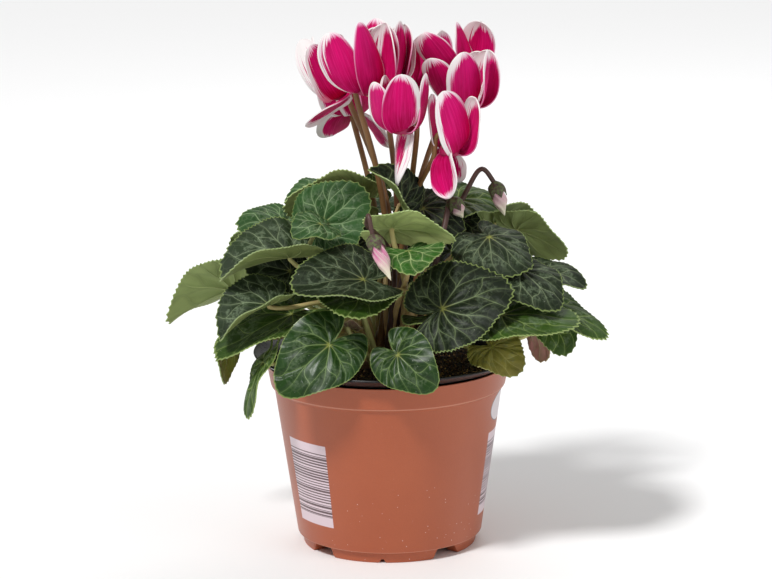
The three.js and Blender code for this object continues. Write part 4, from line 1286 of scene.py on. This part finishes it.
def all_leaves():
    """Every leaf where it first stands: those listed, the rings at the back, and the young ones.
    nodes are the frame's nodes that a leaf stands for, none for a young one."""
    leaves = []

    def add(name, foot, tip, faces, look, fold=0, width=1, phase=0, nodes=()):
        leaves.append({
            "name": name, "foot": point(foot), "tip": point(tip), "faces": point(faces), "look": look,
            "fold": fold, "width": width, "phase": phase, "place": len(leaves), "nodes": nodes,
        })

    for i, (name, foot, tip, faces, fold, width, look) in enumerate(LEAVES):
        add(name, foot, tip, faces, look, fold, width, i, [name])
    for ring, count, first, last, radius, height, length, drop in BACK_RINGS:
        for i, turn in enumerate(np.linspace(first, last, count)):
            foot = turned(turn, radius, height + BACK_STAGGER * (i % 2))
            tip = foot + unit(turned(turn, 1, -drop)) * length
            look = BACK_LOOKS[len(leaves) % len(BACK_LOOKS)]
            name = f"{ring}_{i + 1}"
            add(name, foot, tip, turned(turn, drop, 1), look, phase=i, nodes=[name])
    for i, (foot, tip, faces, look) in enumerate(YOUNG_LEAVES):
        add(f"young_leaf_{i + 1}", foot, tip, faces, look, YOUNG_FOLD, phase=i)
    return leaves


def set_as_in_frame(leaf):
    """Moves a leaf to where the frame has its blade, by the middles of the node's box and its own."""
    angle = np.linspace(-math.pi, math.pi, EDGE_POINTS)
    spots, _ = blade_points(leaf, angle, np.ones_like(angle))
    for node in leaf["nodes"]:
        low, high = (np.array(corner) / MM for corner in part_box(node))
        away = (low + high) / 2 - (spots.min(axis=0) + spots.max(axis=0)) / 2
        moved = BACKWARD * round(float(np.dot(away, BACKWARD)) / BACK_STEP) * BACK_STEP
        leaf["foot"] = leaf["foot"] + moved
        leaf["tip"] = leaf["tip"] + moved


def shifted_shade(code, chance, amount):
    """A colour a little lighter or darker than the one given, with full alpha."""
    change = 1 + chance.uniform(-amount, amount)
    return (*[min(1, share * change) for share in linear(code)], 1)


def leaf_blade(leaf):
    """One blade with its teeth, its veins' places and its own shade of the look's colours."""
    chance = random.Random(leaf["place"] + 1)
    ground, vein, under, strength, silver, rough, teeth = LEAF_LOOKS[leaf["look"]]
    length = np.linalg.norm(leaf["tip"] - leaf["foot"])
    teeth_round = int(np.clip(round(RIM_LENGTH * length / TOOTH_PITCH), *TOOTH_LIMITS))
    count = len(TOOTH_SHAPE) * teeth_round
    angle = np.linspace(-math.pi, math.pi, count, endpoint=False)
    saw = np.resize(TOOTH_SHAPE, count) * (0.5 + np.array([chance.random() for _ in range(count)]))
    saw = (saw + 0.5 * np.sin(angle * 11 + 5 * np.sin(angle * 3 + leaf["phase"]))) * TOOTH_DEPTH * teeth
    spots, places = [], []
    for share in [0.0, *BLADE_SHARES]:
        edge = float(smoothstep(share, 0.85, 1.0))
        ring, place = blade_points(leaf, angle, np.full(count, share), 1 + saw * edge, PUCKER)
        spots.append(ring if share else ring[:1])
        places.append(place if share else place[:1])
    faces = [(0, 1 + (j + 1) % count, 1 + j) for j in range(count)]
    faces += [tuple(1 + k for k in face) for face in grid_faces(len(BLADE_SHARES), count, True)]
    last = len(BLADE_SHARES) * count
    rim = list(range(last, last - count, -1))
    points, faces, slots = shell(np.vstack(spots), faces, rim, BLADE_THICKNESS)
    same = {
        "leaf_marks": (strength, silver, LEAF_SEED * leaf["place"]),
        "leaf_rough": (rough,),
        "leaf_ground": shifted_shade(ground, chance, 0.15),
        "leaf_vein": shifted_shade(vein, chance, 0.1),
        "leaf_under": shifted_shade(under, chance, 0.12),
    }
    marks = {label: np.tile(value, (len(points), 1)) for label, value in same.items()}
    marks["leaf_plane"] = np.vstack(places * 2)
    finishes = ["leaf", "under", "margin"]
    blade = mesh_object(leaf["name"] + "_blade", points, faces, finishes, slots, marks, sharp=60)
    placed(blade, "leaves", *leaf["nodes"])


# Blooms
def petal_half_width(share):
    """Narrow at the root, widest past the middle, and rounded at the tip."""
    root = PETAL_ROOT_WIDTH / 2
    swell = smoothstep(share, -0.05, PETAL_WIDEST - 0.1)
    past = np.maximum(0, (share - PETAL_WIDEST) / (1 - PETAL_WIDEST))
    return (root + (PETAL_WIDTH / 2 - root) * swell) * np.sqrt(np.maximum(0, 1.0 - past ** 2.4))


def petal_sheet(mouth, outwards, tip, habit):
    """Rows of points from the root to the tip, with each point's place on the petal."""
    root = mouth + outwards * (THROAT_RADIUS - PETAL_ROOT_IN) + (0, 0, PETAL_ROOT_UP)
    belly = mouth + outwards * (THROAT_RADIUS + PETAL_BELLY)
    end = mouth + tip
    sideways = np.cross((0, 0, 1), outwards)
    length = np.linalg.norm(belly - root) + np.linalg.norm(end - belly)
    spots, places = [], []
    for share in 1 - (1 - np.linspace(0, 1, PETAL_ROWS)) ** 2:
        middle = (1 - share) ** 2 * root + 2 * share * (1 - share) * belly + share ** 2 * end
        middle = middle + sideways * habit["bow"] * math.sin(math.pi * share)
        tangent = unit((1 - share) * (belly - root) + share * (end - belly))
        across = unit(sideways - tangent * np.dot(sideways, tangent))
        turn = Matrix.Rotation(PETAL_TWIST + habit["turn"] * share, 3, Vector(tangent))
        across = np.array(turn @ Vector(across))
        normal = np.cross(across, tangent)
        half = float(petal_half_width(share))
        for x in np.linspace(-1, 1, PETAL_COLUMNS):
            cup = PETAL_CUP * habit["cup"] * half * (1 - abs(x) ** habit["crown"])
            ruffle = math.sin(6.5 * share + habit["ruffle"] + 2.2 * x)
            wave = PETAL_WAVE * half * share * abs(x) ** 2.5 * ruffle
            wide = half * (1 + habit["lean"] * share * x)
            spots.append(middle + across * x * wide + normal * (cup + wave))
            places.append((x, share, min((1 - abs(x)) * half, (1 - share) * length * 0.8)))
    return np.array(spots), np.array(places)


def five_petals(bloom):
    """The turn, tip and white margin of each petal. Where the frame's bloom has four petals, a
    fifth stands outside the gap of the two hindmost that point the same way."""
    spread = PETAL_SPREAD / (len(bloom["tips"]) - 1)
    petals = [
        (bloom["side"] + STALK_SPACING + i * spread, tip, white)
        for i, (tip, white) in enumerate(zip(bloom["tips"], bloom["whites"]))
    ]
    if len(petals) == FLOWER_PARTS:
        return petals
    gaps = []
    for (turn, first, white), (_, second, _) in zip(petals, petals[1:]):
        outwards = turned(turn + spread / 2)
        tip = (first + second) / 2 + outwards * FIFTH_PETAL_OUT
        gaps.append((np.linalg.norm(tip) > LONG_PETAL, outwards[1], turn + spread / 2, tip, white))
    *_, turn, tip, white = max(gaps, key=lambda gap: gap[:2])
    return [*petals, (turn, tip, white)]


def sepal(mouth, outwards):
    """A small pointed sepal lying over the top of the throat."""
    sideways = np.cross((0, 0, 1), outwards)
    spots = []
    for share in np.linspace(0, 1, SEPAL_ROWS):
        radius = SEPAL_START + SEPAL_REACH * math.sin(share * 1.35)
        height = THROAT_HEIGHT + SEPAL_UP - SEPAL_DROP * share ** 1.8
        half = SEPAL_HALF_WIDTH * math.sin(math.pi * min(1.0, 0.25 + 0.75 * share)) ** 0.8
        for x in np.linspace(-1, 1, SEPAL_COLUMNS):
            out = outwards * (radius - 0.25 * half * x * x)
            spots.append(mouth + out + sideways * x * half + (0, 0, height))
    return shell(np.array(spots), *open_sheet(SEPAL_ROWS, SEPAL_COLUMNS), SEPAL_THICKNESS)


def bloom_piece(bloom):
    """One bloom: its petals and throat, the pistil in the mouth, and the calyx on top."""
    chance = random.Random(bloom["name"])
    mouth = bloom["mouth"]
    points, faces, slots, places, marks = [], [], [], [], []

    def add(new_points, new_faces, finish, new_places=(0, 0, 0), new_marks=(0, 0, 0)):
        count = len(new_points)
        start = sum(len(block) for block in points)
        points.append(new_points)
        faces.extend(tuple(start + k for k in face) for face in outward(new_points, new_faces))
        slots.extend([BLOOM_FINISHES.index(finish)] * len(new_faces))
        places.append(np.broadcast_to(new_places, (count, 3)))
        marks.append(np.broadcast_to(new_marks, (count, 3)))

    for i, (turn, tip, white) in enumerate(five_petals(bloom)):
        habit = {trait: chance.uniform(*span) for trait, span in PETAL_HABITS.items()}
        habit["turn"] = TURNED_PETALS.get((bloom["name"], i), habit["turn"])
        sheet, place = petal_sheet(mouth, turned(turn), tip, habit)
        both, both_faces, _ = shell(sheet, *open_sheet(PETAL_ROWS, PETAL_COLUMNS), PETAL_THICKNESS)
        add(both, both_faces, "petal", np.vstack([place, place]), (*white, chance.uniform(0, 40)))
    spun = ("throat", THROAT_RINGS, THROAT_STEP), ("pistil", PISTIL_RINGS, PISTIL_STEP)
    for finish, rings, step in spun:
        turns = np.arange(0, 360, step)
        add(spun_points(rings, turns) + mouth, grid_faces(len(rings), len(turns), True), finish)
    for i in range(FLOWER_PARTS):
        turn = bloom["side"] + (i + 0.5) * 360 / FLOWER_PARTS
        both, both_faces, _ = sepal(mouth, turned(turn))
        add(both, both_faces, "calyx")
    piece = mesh_object(
        bloom["name"] + "_petals", np.vstack(points), faces, BLOOM_FINISHES, slots,
        {"petal_place": np.vstack(places), "petal_marks": np.vstack(marks)}, sharp=50,
    )
    merge_doubles(piece)
    placed(piece, "petals", bloom["name"])


def bloom_shift(name, mouth):
    """How far a bloom stands from its first place, by the tip of the frame's own throat."""
    spots = np.array([spot.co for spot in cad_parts[name].data.vertices]) / MM
    tip = mouth + point((0, 0, THROAT_HEIGHT))
    shifts = [BACKWARD * k * BACK_STEP for k in range(-BACK_TRIES, BACK_TRIES + 1)]
    return min(shifts, key=lambda shift: np.linalg.norm(spots - tip - shift, axis=1).min())


def all_blooms():
    """Every bloom, its mouth where the frame has it."""
    blooms = []
    for name, mouth, side, tips, whites in BLOOMS:
        mouth = point(mouth) + bloom_shift(name, point(mouth))
        tips = [point(tip) for tip in tips]
        blooms.append({"name": name, "mouth": mouth, "side": side, "tips": tips, "whites": whites})
    return blooms


# Buds
def bud_axes(calyx, tip):
    """The way along a bud, its length, and the ways out from its middle at each of its turns."""
    along = point(tip) - point(calyx)
    length = float(np.linalg.norm(along))
    along = along / length
    across = unit(np.cross(along, (0.0, 1.0, 0.0)))
    third = np.cross(along, across)
    return along, length, np.outer(np.cos(BUD_TURNS), across) + np.outer(np.sin(BUD_TURNS), third)


def bud_petals(index, calyx, tip):
    """Rolled petals twisted to a point."""
    along, length, ways = bud_axes(calyx, tip)
    spots, places = [], []
    for share in np.linspace(0, 1, BUD_ROWS):
        twisted = BUD_TURNS + BUD_TWIST * share
        swell = 0.85 + 0.15 * math.sin(share * math.pi * 1.3)
        taper = (1 - smoothstep(share, 0.5, 1.0) * 0.8) * min(1, (1 - share) * 12 + 0.02)
        radii = BUD_RADIUS * swell * taper * (1 + 0.1 * np.cos(FLOWER_PARTS * twisted))
        middle = point(calyx) + along * (BUD_IN_CALYX + (length - BUD_IN_CALYX) * share)
        spots.append(middle + ways * radii[:, None])
        for turn in twisted:
            places.append((share, math.sin(turn) + 2 * math.cos(turn), BUD_PINKS[index]))
    spots = np.vstack(spots)
    faces = outward(spots, capped(BUD_ROWS, BUD_COLUMNS))
    name = f"bud_{index + 1}_petals"
    petals = mesh_object(name, spots, faces, ["bud"], marks={"bud_place": places}, sharp=60)
    placed(petals, "petals", "corm_and_stalks")


def bud_calyx(index, calyx, tip):
    """Five pointed sepals grown together round the base of a bud, and over its end."""
    along, _, ways = bud_axes(calyx, tip)
    pointed = np.abs(FLOWER_PARTS * BUD_TURNS / (2 * math.pi) % 1 - 0.5) * 2
    deep = CALYX_DEPTH + CALYX_POINTS * pointed ** 1.4
    rings = []
    for share in np.linspace(0, 1, CALYX_ROWS):
        radius = CALYX_RADIUS * math.sin(math.pi * min(0.5, 0.06 + 0.75 * share)) + 0.25
        radius = radius - 0.35 * smoothstep(share, 0.6, 1.0)
        radii = radius * (1 + 0.05 * np.cos(FLOWER_PARTS * BUD_TURNS) * share)
        down = (deep + CALYX_NECK) * share - CALYX_NECK
        rings.append(point(calyx) + np.outer(down, along) + ways * radii[:, None])
    cup = np.vstack(rings)
    count = len(cup)
    faces = [face[::-1] for face in grid_faces(CALYX_ROWS, BUD_COLUMNS, True)]
    both, faces, _ = shell(cup, faces, list(range(count - BUD_COLUMNS, count)), CALYX_THICKNESS)
    faces += [tuple(range(BUD_COLUMNS)), tuple(range(count, count + BUD_COLUMNS))[::-1]]
    sepals = mesh_object(f"bud_{index + 1}_calyx", both, outward(both, faces), ["calyx"], sharp=60)
    placed(sepals, "stalks", "corm_and_stalks")


# Stalks
def corm_point(turn, radius):
    """A point just under the corm's upper side."""
    height = CORM_HALF_HEIGHT * math.sqrt(1 - (radius / CORM_RADIUS) ** 2)
    return turned(turn, radius, CORM_CENTRE + height - ROOT_DEPTH)


def bezier(a, b, c, d, count):
    """A curve that leaves a towards b and comes to d from c."""
    t = np.linspace(0, 1, count)[:, None]
    return (1 - t) ** 3 * a + 3 * t * (1 - t) ** 2 * b + 3 * t ** 2 * (1 - t) * c + t ** 3 * d


def through(stops, count):
    """A centripetal Catmull-Rom curve through the stops."""
    stops = [point(stop) for stop in stops]
    ends = [2 * stops[0] - stops[1], *stops, 2 * stops[-1] - stops[-2]]
    made = []
    for t in np.linspace(0, len(stops) - 1, count):
        i = min(int(t), len(stops) - 2)
        p0, p1, p2, p3 = ends[i:i + 4]
        d0, d1, d2 = (max(np.linalg.norm(b - a) ** 0.5, 1e-4) for a, b in ((p0, p1), (p1, p2), (p2, p3)))
        m1 = ((p1 - p0) / d0 - (p2 - p0) / (d0 + d1) + (p2 - p1) / d1) * d1
        m2 = ((p2 - p1) / d1 - (p3 - p1) / (d1 + d2) + (p3 - p2) / d2) * d1
        u = t - i
        made.append(
            (2 * u ** 3 - 3 * u ** 2 + 1) * p1 + (u ** 3 - 2 * u ** 2 + u) * m1
            + (3 * u ** 2 - 2 * u ** 3) * p2 + (u ** 3 - u ** 2) * m2
        )
    return np.array(made)


def leaf_routes(leaf):
    """Every way up that the leaf's stalk may take in the frame, to just under the leaf's foot."""
    along, up, _, _ = leaf_frame(leaf)
    x, y, _ = leaf["foot"]
    turn = math.degrees(math.atan2(y, x))
    circle = ROOT_CIRCLES[leaf["place"] % len(ROOT_CIRCLES)]
    root = corm_point(turn, circle * min(1, 0.4 + math.hypot(x, y) / 90))
    sideways = turned(turn + 90)
    for slant in SLANTS:
        arrive = unit(up + along * slant)
        tilt = math.sqrt(max(0, 1 - np.dot(arrive, up) ** 2))
        end = leaf["foot"] - up * (FRAME_BLADE / 2 + CLEAR + FRAME_LEAF_STALK * tilt)
        span = np.linalg.norm(end - root)
        for rise in RISES:
            for bend in BENDS:
                lean = root + sideways * bend + turned(turn, 6, rise * span)
                near = end + sideways * bend - arrive * 0.3 * span
                yield bezier(root, lean, near, end, LEAF_ROUTE_POINTS)


def stem_routes(end, root_circle):
    """Every way up that a flower's or bud's stalk may take in the frame, to its end."""
    root = corm_point(math.degrees(math.atan2(end[1], end[0])), root_circle)
    last = end + point((0, 0, 1.5))
    for share in BEND_SHARES:
        for aside in BEND_ASIDES:
            for aim in range(0, 360, AIM_STEP if aside else 360):
                middle = root + (end - root) * share + turned(aim, aside)
                yield through([root, middle, end, last], STEM_POINTS)


def laid_route(routes, crown):
    """The route that the frame's own stalk takes: the one that stays nearest its surface."""
    best, least = None, math.inf
    for route in routes:
        off = 0.0
        for spot in route[2:-1:3]:
            *_, distance = crown.find_nearest(Vector(spot * MM))
            off += max(0.0, distance / MM - ON_STALK)
            if off > least:
                break
        if off < least:
            best, least = route, off
    return best


def crown_tree():
    """The frame's corm and stalks, for finding how near a point is to them."""
    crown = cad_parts["corm_and_stalks"].data
    corners = [spot.co for spot in crown.vertices]
    return BVHTree.FromPolygons(corners, [tuple(face.vertices) for face in crown.polygons])


def eased(route, passes):
    """The route with its sharp bends eased, and its ends where they were."""
    for _ in range(passes):
        route[1:-1] = route[1:-1] / 2 + (route[:-2] + route[2:]) / 4
    return route


def flower_route(bloom, crown):
    """Up beside the throat, then over in a hook to the calyx."""
    mouth = bloom["mouth"]
    aside = turned(bloom["side"]) * (THROAT_RADIUS + FRAME_FLOWER_STALK + CLEAR)
    stem = laid_route(stem_routes(mouth + aside - (0, 0, 2), FLOWER_ROOT_CIRCLE), crown)
    hook = [mouth + aside * share + (0, 0, THROAT_HEIGHT + rise) for share, rise in HOOK]
    stem = eased(np.vstack([stem[:-1], hook[0]]), STEM_EASING)
    return np.vstack([stem, through(hook, HOOK_POINTS)[1:]])


def bud_route(bud, crown):
    """Up to the hook's foot, then over its top to the calyx."""
    foot, top, calyx, _ = (point(spot) for spot in bud)
    stem = laid_route(stem_routes(foot, BUD_ROOT_CIRCLE), crown)
    hook = through([foot, top, calyx], BUD_HOOK_POINTS)
    return eased(np.vstack([stem[:-1], hook[1:]]), BUD_EASING)


def tubes(name, runs, finish, sides):
    """Tubes along runs of points, in one piece. A run is its points, their radii, and its marks:
    for each a value for the whole run or one for each point."""
    points, edges, radii, marks = [], [], [], {}
    for spots, widths, values in runs:
        start = len(points)
        points.extend(spots)
        radii.extend(widths)
        edges += [(start + i, start + i + 1) for i in range(len(spots) - 1)]
        for label, value in values.items():
            rows = np.asarray(value, dtype=float)
            marks.setdefault(label, []).append(rows if rows.ndim == 2 else np.tile(rows, (len(spots), 1)))
    marks = {label: np.vstack(rows) for label, rows in marks.items()}
    marks["width"] = np.array(radii)[:, None] * MM
    lines = mesh_object(name + "_lines", points, [], [], marks=marks, edges=edges)
    return grown(name, lines, tube_tree(finish), {"Width": 1.0, "Sides": sides})


def stalks(name, routes, finish, radii):
    """Stalks along all the routes, with their radius at the root and at the end."""
    chance = random.Random(name)
    runs = []
    for route in routes:
        share = np.linspace(0, 1, len(route))
        shade = chance.random()
        seed = chance.uniform(0, 50)
        foot = 1 + STALK_FOOT * np.maximum(0, 1 - share * 9)
        thick = chance.uniform(*STALK_THICKNESS) * foot
        tone = np.column_stack([np.full_like(share, shade), share, np.full_like(share, seed)])
        runs.append((route, np.linspace(*radii, len(route)) * thick, {"stalk_tone": tone}))
    placed(tubes(name, runs, finish, STALK_SIDES), "stalks", "corm_and_stalks")


def plant():
    """All leaves, blooms, buds and stalks, each where the frame has it."""
    crown = crown_tree()
    routes, ribs = [], []
    for leaf in all_leaves():
        set_as_in_frame(leaf)
        leaf_blade(leaf)
        ribs.extend(rib_runs(leaf))
        route = laid_route(leaf_routes(leaf), crown)
        routes.append(np.vstack([route, leaf["foot"]]))
    placed(tubes("leaf_ribs", ribs, "rib", RIB_SIDES), "leaves")
    stalks("leaf_stalks", routes, "leaf_stalk", LEAF_STALK_RADII)
    blooms = all_blooms()
    for bloom in blooms:
        bloom_piece(bloom)
    routes = [flower_route(bloom, crown) for bloom in blooms]
    stalks("flower_stalks", routes, "flower_stalk", FLOWER_STALK_RADII)
    for index, (*_, calyx, tip) in enumerate(BUDS):
        bud_petals(index, calyx, tip)
        bud_calyx(index, calyx, tip)
    stalks("bud_stalks", [bud_route(bud, crown) for bud in BUDS], "bud_stalk", BUD_STALK_RADII)


# Camera, light and floor
def camera():
    """The photograph's view."""
    data = bpy.data.cameras.new("camera")
    data.lens = LENS
    data.sensor_width = SENSOR_WIDTH
    made = linked("camera", data)
    lift, roll = math.radians(VIEW_HEIGHT), math.radians(VIEW_ROLL)
    back = Vector((0, -math.cos(lift), math.sin(lift)))
    right, up = Vector((1, 0, 0)), Vector((0, math.sin(lift), math.cos(lift)))
    rolled_right = math.cos(roll) * right + math.sin(roll) * up
    rolled_up = -math.sin(roll) * right + math.cos(roll) * up
    turn = Matrix((rolled_right, rolled_up, back)).transposed()
    made.matrix_world = Matrix.Translation(Vector(VIEW_TARGET) + back * VIEW_DISTANCE) @ turn.to_4x4()
    bpy.context.scene.camera = made


def studio():
    """A pale floor under a white sky, and lights that shine towards the plant."""
    near, far = -FLOOR_HALF, FLOOR_HALF
    corners = [(near, near, 0), (far, near, 0), (far, far, 0), (near, far, 0)]
    floor = mesh_object("floor", corners, [(0, 1, 2, 3)], ["floor"])
    for name, kind, place, power, settings in LIGHTS:
        data = bpy.data.lights.new(name, kind)
        data.energy = power
        for label, setting in settings.items():
            setattr(data, label, setting)
        light = linked(name, data)
        light.location = place
        light.rotation_euler = (Vector(LIGHT_AIM) - Vector(place)).to_track_quat("-Z", "Y").to_euler()
    world = bpy.data.worlds.new("studio")
    world.use_nodes = True
    sky = world.node_tree.nodes["Background"]
    sky.inputs["Color"].default_value = (1, 1, 1, 1)
    sky.inputs["Strength"].default_value = SKY_STRENGTH
    bpy.context.scene.world = world
    bpy.context.scene.view_settings.view_transform = "Standard"


camera()
studio()
pot_shell()
collar_ring()
soil_bed()
collar_crumbs()
corm()
plant()
